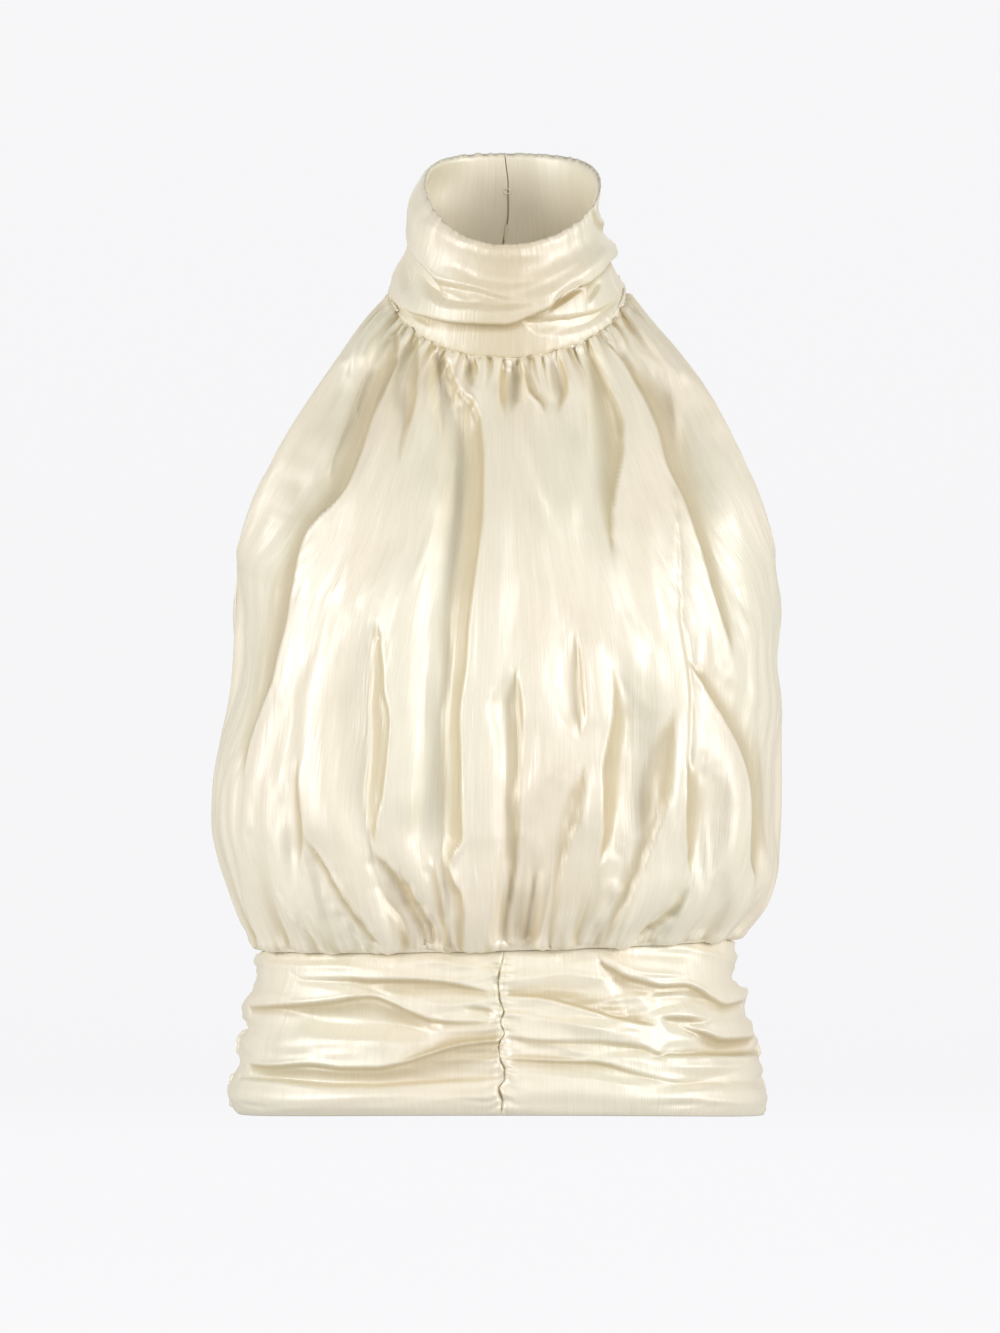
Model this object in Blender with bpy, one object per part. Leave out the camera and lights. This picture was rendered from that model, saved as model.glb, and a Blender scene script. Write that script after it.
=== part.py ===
"""Halter neck top: gathered blouson front, plain split back, draped stand collar, ruched waistband.

The model is in metres, +Z up, with the front towards -Y. The origin is the middle of the neck,
level with the points where the armhole edges meet the collar. Every table here is in millimetres
from that origin, and left and right are those of somebody who looks at the front.
"""
import math
from collections import namedtuple

import bpy
import numpy as np

MM = 0.001

# Cloth walls and seams
BODY_WALL = 1.6
BAND_WALL = 2.0
COLLAR_WALL = 2.0
SEAM_GAP = 0.3
NECK_SEAM_GAP = 0.5
COLLAR_OPENING = 1.5

# Neck seam ring, where the body is gathered onto the collar
NECK_LEFT_X = -62.2
NECK_RIGHT_X = 68.9
NECK_FRONT_Y = -56.0
NECK_BACK_Y = 52.0
NECK_FRONT_Z = -41.4
NECK_BACK_Z = 16.0
NECK_EASE = 0.25
BACK_NECK_TURN = 104.0

# Top edge of the collar
COLLAR_LEFT_X = -42.6
COLLAR_RIGHT_X = 54.3
COLLAR_FRONT_Y = -68.0
COLLAR_BACK_Y = 42.0
COLLAR_FRONT_Z = 20.2
COLLAR_SIDE_Z = 60.5
COLLAR_BACK_Z = 83.0

# Waist seam ring, where the blouse is gathered onto the band
WAIST_LEFT_X = -135.0
WAIST_RIGHT_X = 127.7
WAIST_FRONT_Y = -99.0
WAIST_BACK_Y = 84.0
WAIST_SIDE_Z = -364.75
WAIST_TILT = 3.25
WAIST_SAG = -1.85

# How square each ring is: 0 is an ellipse
NECK_CORNER = 0.03
COLLAR_CORNER = 0.025
WAIST_CORNER = 0.06

# Grid sizes. The body's rows run 0 to BODY_ROWS from the neck seam to the waist seam.
BODY_ROWS = 20
UNDERARM_ROW = 8
FRONT_COLUMNS = 38
BACK_COLUMNS = 11
COLLAR_COLUMNS = 38
COLLAR_ROWS = 9
BAND_FRONT_COLUMNS = 15
BAND_BACK_COLUMNS = 22
BAND_ROWS = 11

# Rows up to which the neck seam shapes a body panel, and from which the waist seam does
NECK_BLEND_ROW = 5
WAIST_BLEND_ROW = 13

# Folds fade in and out over these body rows, near these shares of a piece's width or height, and
# over these lengths at their own ends: millimetres, or degrees round the collar
FRONT_FOLD_ROWS = (0, 2)
BACK_FOLD_ROWS = (5, 8)
WAIST_FADE_ROW = 17.5
SIDE_FADE = 0.86
CENTRE_FADE = 0.15
COLLAR_FADE = 0.2
BAND_SEAM_FADE = 0.08
BAND_EDGE_FADE = 0.12
FRONT_FOLD_TIP = 12.0
BACK_FOLD_TIP = 14.0
COLLAR_FOLD_TIP = 16.0
BAND_FOLD_TIP = 9.0

# Share of a back panel's width over which the slit's edge bends back to the panel's own shape
SLIT_REACH = 0.5

Edge = namedtuple("Edge", "row left_x right_x y z")
Middle = namedtuple("Middle", "row y z wrap")
Slit = namedtuple("Slit", "row half_width")
Ring = namedtuple("Ring", "share left_x right_x front_y back_y front_z side_z back_z")
Fold = namedtuple("Fold", "name path rise before after")

FRONT_ARMHOLE = (
    Edge(0, -62.2, 68.9, -2.0, 0.0),
    Edge(1, -77.6, 82.6, -13.0, -16.0),
    Edge(2, -90.6, 99.0, -23.0, -35.5),
    Edge(3, -104.6, 113.7, -32.0, -56.0),
    Edge(4, -118.0, 125.2, -38.0, -77.0),
    Edge(5, -130.5, 136.0, -41.0, -100.0),
    Edge(6, -140.6, 144.6, -39.0, -122.0),
    Edge(7, -146.0, 149.8, -27.0, -142.0),
    Edge(8, -148.0, 151.2, -5.0, -152.0),
)
BACK_ARMHOLE = (
    Edge(0, -60.3, 66.9, 11.1, 3.4),
    Edge(1, -62.0, 68.0, 27.0, -9.0),
    Edge(2, -67.0, 72.5, 42.0, -26.0),
    Edge(3, -75.0, 80.0, 53.0, -46.0),
    Edge(4, -86.0, 91.0, 60.0, -68.0),
    Edge(5, -100.0, 104.0, 61.0, -92.0),
    Edge(6, -118.0, 122.0, 52.0, -117.0),
    Edge(7, -137.0, 141.0, 29.0, -140.0),
    Edge(8, -148.0, 151.2, -5.0, -152.0),
)
SIDE_SEAM = (
    Edge(8, -148.0, 151.2, -5.0, -152.0),
    Edge(9, -149.5, 153.0, -3.5, -175.0),
    Edge(10, -150.6, 152.4, -2.5, -200.0),
    Edge(11, -152.6, 154.8, -2.0, -225.0),
    Edge(12, -157.0, 155.4, -2.0, -250.0),
    Edge(13, -161.0, 155.7, -2.5, -275.0),
    Edge(14, -161.8, 155.1, -3.0, -297.0),
    Edge(15, -158.2, 153.4, -4.0, -316.0),
    Edge(16, -152.6, 151.5, -5.0, -331.0),
    Edge(17, -147.8, 147.0, -6.0, -343.5),
    Edge(18, -142.8, 139.0, -6.8, -353.5),
    Edge(19, -138.6, 131.5, -7.3, -360.5),
    Edge(20, -135.0, 127.7, -7.5, -364.75),
)
CENTRE_FRONT = (
    Middle(0, -56.0, -41.4, 90.0),
    Middle(2, -70.0, -68.0, 76.0),
    Middle(4, -90.0, -102.0, 64.0),
    Middle(6, -111.0, -142.0, 68.0),
    Middle(8, -124.0, -183.0, 84.0),
    Middle(10, -129.0, -223.0, 90.0),
    Middle(12, -131.0, -262.0, 90.0),
    Middle(14, -132.0, -298.0, 90.0),
    Middle(16, -131.0, -328.0, 90.0),
    Middle(18, -122.0, -352.0, 90.0),
    Middle(19, -112.0, -361.0, 90.0),
    Middle(20, -99.0, -366.6, 90.0),
)
CENTRE_BACK = (
    Middle(0, 52.0, 16.0, 76.0),
    Middle(2, 62.0, -14.0, 66.0),
    Middle(4, 78.0, -52.0, 60.0),
    Middle(6, 91.0, -98.0, 68.0),
    Middle(8, 96.0, -146.0, 84.0),
    Middle(10, 93.0, -192.0, 90.0),
    Middle(12, 89.0, -240.0, 90.0),
    Middle(14, 90.0, -286.0, 90.0),
    Middle(16, 95.0, -322.0, 90.0),
    Middle(18, 95.0, -350.0, 90.0),
    Middle(19, 91.0, -360.0, 90.0),
    Middle(20, 84.0, -366.6, 90.0),
)
BACK_SLIT = (
    Slit(0, 0.8),
    Slit(1, 4.0),
    Slit(2, 8.0),
    Slit(3, 11.0),
    Slit(4, 12.0),
    Slit(5, 10.0),
    Slit(6, 5.0),
    Slit(6.8, 0.15),
    Slit(20, 0.15),
)
BAND_RINGS = (
    Ring(0.0, -135.0, 127.7, -99.0, 84.0, -366.6, -364.75, -366.6),
    Ring(0.25, -141.0, 131.5, -103.0, 88.0, -388.0, -388.0, -389.5),
    Ring(0.5, -146.0, 138.5, -106.0, 94.0, -410.0, -412.0, -413.0),
    Ring(0.8, -152.0, 144.5, -108.5, 100.0, -437.0, -441.0, -441.0),
    Ring(1.0, -149.0, 146.5, -108.0, 103.0, -455.5, -459.5, -459.5),
)

# Folds. rise is positive for a ridge and negative for a trough; before and after are its widths.
# A body fold runs down through (x, z), with before to its left. A band fold runs across through
# (x, z), with before above it. A collar fold runs round through (turn in degrees, z) likewise.
FRONT_FOLDS = (
    Fold("left_sweep", ((-74, -70), (-86, -113), (-110, -138), (-127, -178), (-138, -250)), -7, 15, 13),
    Fold("left_ridge", ((-51, -46), (-63, -69), (-72, -94), (-77, -119), (-82, -151)), 4, 9, 9),
    Fold("deep_trough", ((-38, -52), (-28, -68), (-17, -92), (-18, -125), (-28, -178), (-27, -290)), -7, 12, 8),
    Fold("deep_ridge", ((-8, -105), (-15, -178), (-19, -223), (-22, -290)), 4, 6, 13),
    Fold("lower_left_trough", ((-70, -190), (-70, -212), (-64, -245), (-66, -284), (-52, -350)), -7, 10, 8),
    Fold("centre_trough", ((7, -212), (5, -284), (2, -351)), -6, 7, 7),
    Fold("right_neck_trough", ((52, -56), (60, -76), (62, -104), (58, -134)), -5, 12, 10),
    Fold("right_ridge", ((48, -50), (69, -69), (83, -100), (93, -146), (100, -245)), 4, 12, 6),
    Fold("right_sweep", ((71, -50), (88, -69), (101, -113), (120, -168), (141, -217)), -7, 10, 15),
    Fold("right_short_trough", ((73, -213), (65, -240), (56, -267)), -5, 8, 8),
    Fold("lower_right_trough", ((91, -239), (81, -284), (65, -348)), -6, 8, 8),
    Fold("right_low_trough", ((98, -280), (103, -315), (84, -352)), -5, 9, 7),
)
BACK_FOLDS = (
    Fold("back_left_trough", ((-70, -190), (-76, -250), (-60, -345)), -5, 11, 11),
    Fold("back_left_short", ((-112, -240), (-108, -290), (-92, -350)), -5, 11, 10),
    Fold("back_left_inner", ((-30, -230), (-34, -290), (-28, -350)), -4, 9, 9),
    Fold("back_right_trough", ((74, -200), (80, -260), (66, -348)), -5, 11, 11),
    Fold("back_right_short", ((118, -236), (112, -292), (96, -352)), -5, 10, 11),
    Fold("back_right_inner", ((34, -215), (30, -285), (34, -350)), -4, 9, 9),
)
COLLAR_FOLDS = (
    Fold("roll", ((-75, -6), (-50, -9), (-25, -14), (0, -13), (20, -4), (48, 12), (64, 21), (90, 27), (170, 44)),
         5.5, 12, 6),
    Fold("roll_tuck", ((-50, -22), (-25, -27), (0, -27), (20, -18), (48, -3), (64, 6), (90, 12), (130, 20)),
         -2.5, 5, 7),
    Fold("upper_fold", ((-170, 44), (-120, 38), (-90, 30), (-56, 26), (-35, 8), (-15, 2), (0, -2)), 4.5, 10, 6),
)
BAND_FRONT_FOLDS = (
    Fold("left_top_ridge", ((-124, -378), (-83, -380), (-40, -381), (-4, -384)), 3, 6, 4),
    Fold("left_top_tuck", ((-100, -387), (-60, -388), (-6, -391)), -3, 4, 5),
    Fold("left_mid_ridge", ((-141, -400), (-104, -397), (-67, -394), (-35, -402), (-4, -403)), 3.5, 5, 5),
    Fold("left_mid_trough", ((-125, -409), (-85, -409), (-50, -412), (-20, -411)), -3, 6, 7),
    Fold("left_low_ridge", ((-145, -431), (-93, -429), (-56, -425), (-30, -419), (-6, -414)), 3, 7, 5),
    Fold("left_low_tuck", ((-146, -440), (-83, -440), (-40, -438), (-6, -434)), -3.5, 5, 5),
    Fold("right_top_ridge", ((46, -372), (60, -377), (79, -383), (102, -386), (130, -394)), 3, 5, 5),
    Fold("right_mid_ridge", ((4, -391), (30, -393), (52, -399), (96, -407), (141, -417)), 4, 7, 5),
    Fold("right_mid_tuck", ((4, -411), (40, -414), (78, -418), (95, -422), (141, -425)), -3.5, 5, 5),
    Fold("right_low_ridge", ((4, -425), (46, -426), (73, -432), (101, -436), (142, -440)), 3, 6, 6),
)
BAND_BACK_FOLDS = (
    Fold("back_top_ridge", ((-122, -382), (-60, -380), (10, -383), (70, -379), (118, -385)), 3, 5, 5),
    Fold("back_top_tuck", ((-90, -392), (-20, -391), (50, -393), (110, -396)), -3, 5, 5),
    Fold("back_mid_ridge", ((-136, -404), (-50, -402), (20, -408), (80, -404), (128, -408)), 3.5, 6, 6),
    Fold("back_low_tuck", ((-130, -424), (-60, -428), (0, -424), (70, -429), (132, -426)), -3.5, 6, 6),
    Fold("back_low_ridge", ((-140, -440), (-40, -438), (50, -441), (136, -438)), 3, 7, 7),
)

SATIN_COLOUR = (0.90, 0.84, 0.70, 1.0)
SATIN_ROUGHNESS = 0.36


def curve_through(knots, values, at):
    """Smooth curve through values at rising knots, read at the places in at. It never overshoots."""
    knots = np.asarray(knots, float)
    values = np.asarray(values, float)
    steps = np.diff(knots)
    slopes = np.diff(values) / steps
    tangents = np.zeros_like(values)
    before, after = slopes[:-1], slopes[1:]
    same_way = before * after > 0
    total = np.where(same_way, before + after, 1.0)
    tangents[1:-1] = np.where(same_way, 2 * before * after / total, 0.0)
    tangents[0] = slopes[0]
    tangents[-1] = slopes[-1]
    at = np.clip(at, knots[0], knots[-1])
    span = np.clip(np.searchsorted(knots, at, side="right") - 1, 0, len(steps) - 1)
    width = steps[span]
    t = (at - knots[span]) / width
    return ((2 * t**3 - 3 * t**2 + 1) * values[span]
            + (t**3 - 2 * t**2 + t) * width * tangents[span]
            + (3 * t**2 - 2 * t**3) * values[span + 1]
            + (t**3 - t**2) * width * tangents[span + 1])


def column(table, knot, name, at):
    """One named column of a table, read smoothly at places along its knot column."""
    return curve_through([getattr(row, knot) for row in table], [getattr(row, name) for row in table], at)


def smooth_step(value, low, high):
    """0 below low, 1 above high, and a soft step between them."""
    t = np.clip((value - low) / (high - low), 0.0, 1.0)
    return t * t * (3 - 2 * t)


def arc(turn, corner):
    """How far sideways and how far ahead a ring of unit size is at an angle from its front."""
    fullness = 1 + corner * np.sin(2 * turn)**2
    return fullness * np.sin(turn), fullness * np.cos(turn)


def neck_seam(turn):
    """The neck seam at turn radians from the front, positive to the right."""
    side, ahead = arc(turn, NECK_CORNER)
    x = np.where(side < 0, -NECK_LEFT_X, NECK_RIGHT_X) * side
    middle_y = (NECK_FRONT_Y + NECK_BACK_Y) / 2
    y = middle_y + (NECK_FRONT_Y - NECK_BACK_Y) / 2 * ahead
    slope = (NECK_FRONT_Z - NECK_BACK_Z) / 2
    dip = (NECK_FRONT_Z + NECK_BACK_Z) / 2 / math.sqrt(1 + NECK_EASE**2)
    z = slope * ahead + dip * np.abs(ahead) * np.sqrt(ahead**2 + NECK_EASE**2)
    return np.stack([x, y, z], -1)


def collar_top(turn):
    """The collar's top edge at turn radians from the front."""
    side, ahead = arc(turn, COLLAR_CORNER)
    x = np.where(side < 0, -COLLAR_LEFT_X, COLLAR_RIGHT_X) * side
    y = (COLLAR_FRONT_Y + COLLAR_BACK_Y) / 2 + (COLLAR_FRONT_Y - COLLAR_BACK_Y) / 2 * ahead
    slope = (COLLAR_FRONT_Z - COLLAR_BACK_Z) / 2
    dip = (COLLAR_FRONT_Z + COLLAR_BACK_Z) / 2 - COLLAR_SIDE_Z
    z = COLLAR_SIDE_Z + slope * ahead + dip * ahead**2
    return np.stack([x, y, z], -1)


def waist_seam(turn):
    """The waist seam at turn radians from the front."""
    side, ahead = arc(turn, WAIST_CORNER)
    x = np.where(side < 0, -WAIST_LEFT_X, WAIST_RIGHT_X) * side
    y = (WAIST_FRONT_Y + WAIST_BACK_Y) / 2 + (WAIST_FRONT_Y - WAIST_BACK_Y) / 2 * ahead
    z = WAIST_SIDE_Z + WAIST_TILT * side + WAIST_SAG * ahead**2
    return np.stack([x, y, z], -1)


def edge_at(armhole, row):
    """x at the left and right edges of a body panel, with their y and z, at each row."""
    names = ("left_x", "right_x", "y", "z")
    above = [column(armhole, "row", name, row) for name in names]
    below = [column(SIDE_SEAM, "row", name, row) for name in names]
    return [np.where(row < UNDERARM_ROW, a, b) for a, b in zip(above, below)]


def body_surface(across, row, armhole, centre):
    """Body panel without folds: across runs from -1 at the left edge through 0 to 1 at the right."""
    left_x, right_x, edge_y, edge_z = edge_at(armhole, row)
    wrap = np.radians(column(centre, "row", "wrap", row))
    turn = across * wrap
    side, ahead = arc(turn, WAIST_CORNER)
    full_side, full_ahead = arc(wrap, WAIST_CORNER)
    sideways = side / full_side
    forward = (ahead - full_ahead) / (1 - full_ahead)
    x = np.where(across < 0, -left_x, right_x) * sideways
    y = edge_y + (column(centre, "row", "y", row) - edge_y) * forward
    z = edge_z + (column(centre, "row", "z", row) - edge_z) * forward
    return np.stack([x, y, z], -1)


def onto_seams(across, row, armhole, centre, neck_turn, waist_turn):
    """Body panel whose first and last rows are moved onto the neck seam and the waist seam."""
    points = body_surface(across, row, armhole, centre)
    top = body_surface(across, np.zeros_like(row), armhole, centre)
    bottom = body_surface(across, np.full_like(row, BODY_ROWS), armhole, centre)
    near_top = (1 - smooth_step(row, 0, NECK_BLEND_ROW))[..., None]
    near_bottom = smooth_step(row, WAIST_BLEND_ROW, BODY_ROWS)[..., None]
    return (points + near_top * (neck_seam(neck_turn) - top)
            + near_bottom * (waist_seam(waist_turn) - bottom))


def fold_height(folds, along, across, tip):
    """Sum of the folds at each point. along is the coordinate that the folds run in."""
    height = np.zeros_like(along)
    for fold in folds:
        path = sorted((run, cross) for run, cross in fold.path)
        runs = np.array([run for run, _ in path], float)
        offset = across - curve_through(runs, [cross for _, cross in path], along)
        width = np.where(offset < 0, fold.before, fold.after)
        ends = smooth_step(along, runs[0] - tip, runs[0] + tip)
        ends = ends * (1 - smooth_step(along, runs[-1] - tip, runs[-1] + tip))
        height += fold.rise * ends * np.exp(-(offset / width)**2)
    return height


def turned(folds):
    """The same folds with each path given as (along, across) for one that runs down the body."""
    return [fold._replace(path=tuple((z, x) for x, z in fold.path)) for fold in folds]


def upright(folds):
    """Folds that run sideways, with before above the fold, where z is larger."""
    return [fold._replace(before=fold.after, after=fold.before) for fold in folds]


def grid_normals(points):
    """Unit normals of a grid of points, to the left of its rows seen along its columns."""
    down = np.gradient(points, axis=0)
    along = np.gradient(points, axis=1)
    normals = np.cross(down, along)
    return normals / np.linalg.norm(normals, axis=-1, keepdims=True)


def satin():
    """The one material of all pieces: cream satin."""
    material = bpy.data.materials.get("satin") or bpy.data.materials.new("satin")
    material.use_nodes = True
    shader = material.node_tree.nodes["Principled BSDF"]
    shader.inputs["Base Color"].default_value = SATIN_COLOUR
    shader.inputs["Roughness"].default_value = SATIN_ROUGHNESS
    shader.inputs["Metallic"].default_value = 0.0
    material.diffuse_color = SATIN_COLOUR
    return material


def add_wall(name, outer, wall, first_seam, last_seam, seam_row=0):
    """One piece of cloth: a closed wall whose outer face is a grid of points in millimetres.

    first_seam and last_seam are the axes, 0 for X and 1 for Y, that the seams at the first and last
    columns face, from seam_row down. The wall is square to them, so two pieces meet edge to edge.
    """
    rows, columns = outer.shape[:2]
    normals = grid_normals(outer)
    normals[seam_row:, 0, first_seam] = 0.0
    normals[seam_row:, -1, last_seam] = 0.0
    normals /= np.linalg.norm(normals, axis=-1, keepdims=True)
    inner = outer - wall * normals
    vertices = np.concatenate([outer.reshape(-1, 3), inner.reshape(-1, 3)]) * MM
    count = rows * columns

    def index(row, col, layer):
        return layer * count + row * columns + col

    faces = []
    for row in range(rows - 1):
        for col in range(columns - 1):
            quad = [(row, col), (row + 1, col), (row + 1, col + 1), (row, col + 1)]
            faces.append([index(r, c, 0) for r, c in quad])
            faces.append([index(r, c, 1) for r, c in reversed(quad)])
    rim = [(row, 0) for row in range(rows)]
    rim += [(rows - 1, col) for col in range(1, columns)]
    rim += [(row, columns - 1) for row in range(rows - 2, -1, -1)]
    rim += [(0, col) for col in range(columns - 2, 0, -1)]
    for here, there in zip(rim, rim[1:] + rim[:1]):
        faces.append([index(*there, 0), index(*here, 0), index(*here, 1), index(*there, 1)])
    mesh = bpy.data.meshes.new(name)
    mesh.from_pydata([tuple(v) for v in vertices], [], faces)
    mesh.materials.append(satin())
    mesh.shade_smooth()
    piece = bpy.data.objects.new(name, mesh)
    bpy.context.scene.collection.objects.link(piece)
    return piece


def pull_in(points, first_row, last_row):
    """Move the edges of a grid inwards along the surface, by half of a seam's gap."""
    points = points.copy()
    for gap, edge, inside in ((first_row, 0, 1), (last_row, -1, -2)):
        step = points[inside] - points[edge]
        points[edge] += gap / 2 * step / np.linalg.norm(step, axis=-1, keepdims=True)
    for edge, inside in ((0, 1), (-1, -2)):
        step = points[:, inside] - points[:, edge]
        points[:, edge] += SEAM_GAP / 2 * step / np.linalg.norm(step, axis=-1, keepdims=True)
    return points


def fold_out(points, height):
    """Lift a grid of points along its normals by the folds' height."""
    return points + grid_normals(points) * height[..., None]


def make_front():
    """Gathered front, from the neck seam to the waist seam."""
    row, across = np.meshgrid(np.arange(BODY_ROWS + 1.0), np.linspace(-1, 1, FRONT_COLUMNS + 1),
                              indexing="ij")
    turn = across * math.pi / 2
    points = onto_seams(across, row, FRONT_ARMHOLE, CENTRE_FRONT, turn, turn)
    height = fold_height(turned(FRONT_FOLDS), points[..., 2], points[..., 0], FRONT_FOLD_TIP)
    at_rows = smooth_step(row, *FRONT_FOLD_ROWS) * (1 - smooth_step(row, WAIST_FADE_ROW, BODY_ROWS))
    at_sides = 1 - smooth_step(np.abs(across), SIDE_FADE, 1.0)
    points = fold_out(points, height * at_rows * at_sides)
    return add_wall("front_body", pull_in(points, NECK_SEAM_GAP, SEAM_GAP), BODY_WALL, 1, 1, UNDERARM_ROW)


def make_back(name, side):
    """One half of the back; side is -1 for the left half and 1 for the right half."""
    row, share = np.meshgrid(np.arange(BODY_ROWS + 1.0), np.linspace(0, 1, BACK_COLUMNS + 1),
                             indexing="ij")
    across = side * share
    neck_turn = math.pi - across * (math.pi - math.radians(BACK_NECK_TURN))
    waist_turn = math.pi - across * math.pi / 2
    points = onto_seams(across, row, BACK_ARMHOLE, CENTRE_BACK, neck_turn, waist_turn)
    slit = column(BACK_SLIT, "row", "half_width", row)
    points[..., 0] += side * slit * (1 - smooth_step(share, 0.0, SLIT_REACH))
    height = fold_height(turned(BACK_FOLDS), points[..., 2], points[..., 0], BACK_FOLD_TIP)
    at_rows = smooth_step(row, *BACK_FOLD_ROWS) * (1 - smooth_step(row, WAIST_FADE_ROW, BODY_ROWS))
    at_sides = smooth_step(share, 0.0, CENTRE_FADE) * (1 - smooth_step(share, SIDE_FADE, 1.0))
    height = height * at_rows * at_sides
    if side > 0:
        points, height = points[:, ::-1], height[:, ::-1]
    points = pull_in(fold_out(points, height), NECK_SEAM_GAP, SEAM_GAP)
    first_seam, last_seam = (0, 1) if side < 0 else (1, 0)
    return add_wall(name, points, BODY_WALL, first_seam, last_seam, UNDERARM_ROW)


def make_collar():
    """Draped stand collar, open at the centre back."""
    end = math.pi - math.asin(COLLAR_OPENING / 2 / COLLAR_RIGHT_X)
    share, turn = np.meshgrid(np.linspace(1, 0, COLLAR_ROWS + 1), np.linspace(-end, end, COLLAR_COLUMNS + 1),
                              indexing="ij")
    rise = share[..., None]
    points = neck_seam(turn) * (1 - rise) + collar_top(turn) * rise
    height = fold_height(upright(COLLAR_FOLDS), np.degrees(turn), points[..., 2], COLLAR_FOLD_TIP)
    free = smooth_step(share, 0.0, COLLAR_FADE) * (1 - smooth_step(share, 1 - COLLAR_FADE, 1.0))
    points = fold_out(points, height * free)
    return add_wall("collar", pull_in(points, SEAM_GAP, NECK_SEAM_GAP), COLLAR_WALL, 0, 0)


def band_surface(turn, share):
    """Waistband without folds; share is 0 at the waist seam and 1 at the hem."""
    side, ahead = arc(turn, WAIST_CORNER)
    left_x, right_x, front_y, back_y, front_z, side_z, back_z = (
        column(BAND_RINGS, "share", name, share) for name in Ring._fields[1:])
    x = np.where(side < 0, -left_x, right_x) * side
    y = (front_y + back_y) / 2 + (front_y - back_y) / 2 * ahead
    level = side_z + np.where(ahead > 0, front_z - side_z, back_z - side_z) * ahead**2
    z = level + WAIST_TILT * side * (1 - share)
    return np.stack([x, y, z], -1)


def make_band(name, first_turn, last_turn, columns, folds, first_seam, last_seam):
    """One piece of the ruched waistband between two angles, given in degrees from the front."""
    share, turn = np.meshgrid(np.linspace(0, 1, BAND_ROWS + 1),
                              np.radians(np.linspace(first_turn, last_turn, columns + 1)), indexing="ij")
    points = band_surface(turn, share)
    height = fold_height(upright(folds), points[..., 0], points[..., 2], BAND_FOLD_TIP)
    free = smooth_step(share, 0.0, BAND_EDGE_FADE) * (1 - smooth_step(share, 1 - BAND_EDGE_FADE, 1.0))
    within = (turn - turn[0, 0]) / (turn[0, -1] - turn[0, 0])
    at_seams = smooth_step(within, 0.0, BAND_SEAM_FADE)
    at_seams = at_seams * (1 - smooth_step(within, 1 - BAND_SEAM_FADE, 1.0))
    points = fold_out(points, height * free * at_seams)
    return add_wall(name, pull_in(points, SEAM_GAP, SEAM_GAP), BAND_WALL, first_seam, last_seam)


def main():
    for old in list(bpy.data.objects):
        bpy.data.objects.remove(old, do_unlink=True)
    make_collar()
    make_front()
    make_back("back_left", -1)
    make_back("back_right", 1)
    make_band("band_front_left", -90, 0, BAND_FRONT_COLUMNS, BAND_FRONT_FOLDS, 1, 0)
    make_band("band_front_right", 0, 90, BAND_FRONT_COLUMNS, BAND_FRONT_FOLDS, 0, 1)
    make_band("band_back", 90, 270, BAND_BACK_COLUMNS, BAND_BACK_FOLDS, 1, 1)


main()
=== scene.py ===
"""Looks of the halter neck top: cream satin with its gathers, drapes and ruching.

Every table is in millimetres from the frame's origin. The front's folds are written as the camera
sees them: x and z where the line of sight meets the plane through the origin.
"""
import math
from collections import namedtuple

import bpy
import numpy as np
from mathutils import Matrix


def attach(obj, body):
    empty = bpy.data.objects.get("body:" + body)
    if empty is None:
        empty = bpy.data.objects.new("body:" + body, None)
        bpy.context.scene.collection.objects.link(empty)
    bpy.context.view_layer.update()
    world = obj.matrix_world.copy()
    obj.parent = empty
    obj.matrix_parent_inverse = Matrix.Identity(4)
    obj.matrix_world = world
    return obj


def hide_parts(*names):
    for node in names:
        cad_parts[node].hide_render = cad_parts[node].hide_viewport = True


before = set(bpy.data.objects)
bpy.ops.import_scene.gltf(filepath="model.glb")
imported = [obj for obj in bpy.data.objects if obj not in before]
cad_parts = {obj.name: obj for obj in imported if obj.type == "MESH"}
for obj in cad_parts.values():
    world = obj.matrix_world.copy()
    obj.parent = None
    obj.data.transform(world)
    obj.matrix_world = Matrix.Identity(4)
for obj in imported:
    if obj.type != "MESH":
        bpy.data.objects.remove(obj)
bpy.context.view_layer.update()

MM = 0.001
TINY = 1e-9

# Camera, level with the chest and pitched up to the middle of the picture
CAMERA_X = -1.7
CAMERA_DISTANCE = 3200.0
CAMERA_Z = -290.0
AIM_Z = -210.0
PICTURE_HEIGHT = 746.5
CLIP_END = 50.0

# Cloth, and how its pieces meet: a piece's edge stands half a gap from the seam, folds in by
# LAP_DEPTH and runs LAP_REACH behind the next piece, or only turns in where the edge is free
CLOTH_WALL = 0.6
SEAM_GAP = 0.08
LAP_DEPTH = 1.4
LAP_REACH = 1.8
TURNED_EDGE = 0.5
ARMHOLE_DIP = 1.2
SEAM_DIP = 0.25
EDGE_ROUND = 1.3
SEAM_TURNING = 3.5
TURNING_INSET = 0.3

# A drape's profile: how much of its fall stands above the cloth, how round its crest and the foot
# of its flank are, and how wide its soft shoulder is as a share of the flank's width
CREST_SHARE = 0.3
CREST_ROUND = 1.0
FLANK_ROUND = 1.7
SHOULDER_SHARE = 1.9
# A thin bead just outside the crest, and a nick just inside it: height, place and half-width
BEAD_RISE = 0.6
BEAD_PLACE = -0.8
NICK_DEPTH = 0.7
NICK_PLACE = 1.8
CREST_LINE = 1.3
# How wide a smaller fold still is at its tips, as a share of its width
FOLD_TIP_WIDTH = 0.5

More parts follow.
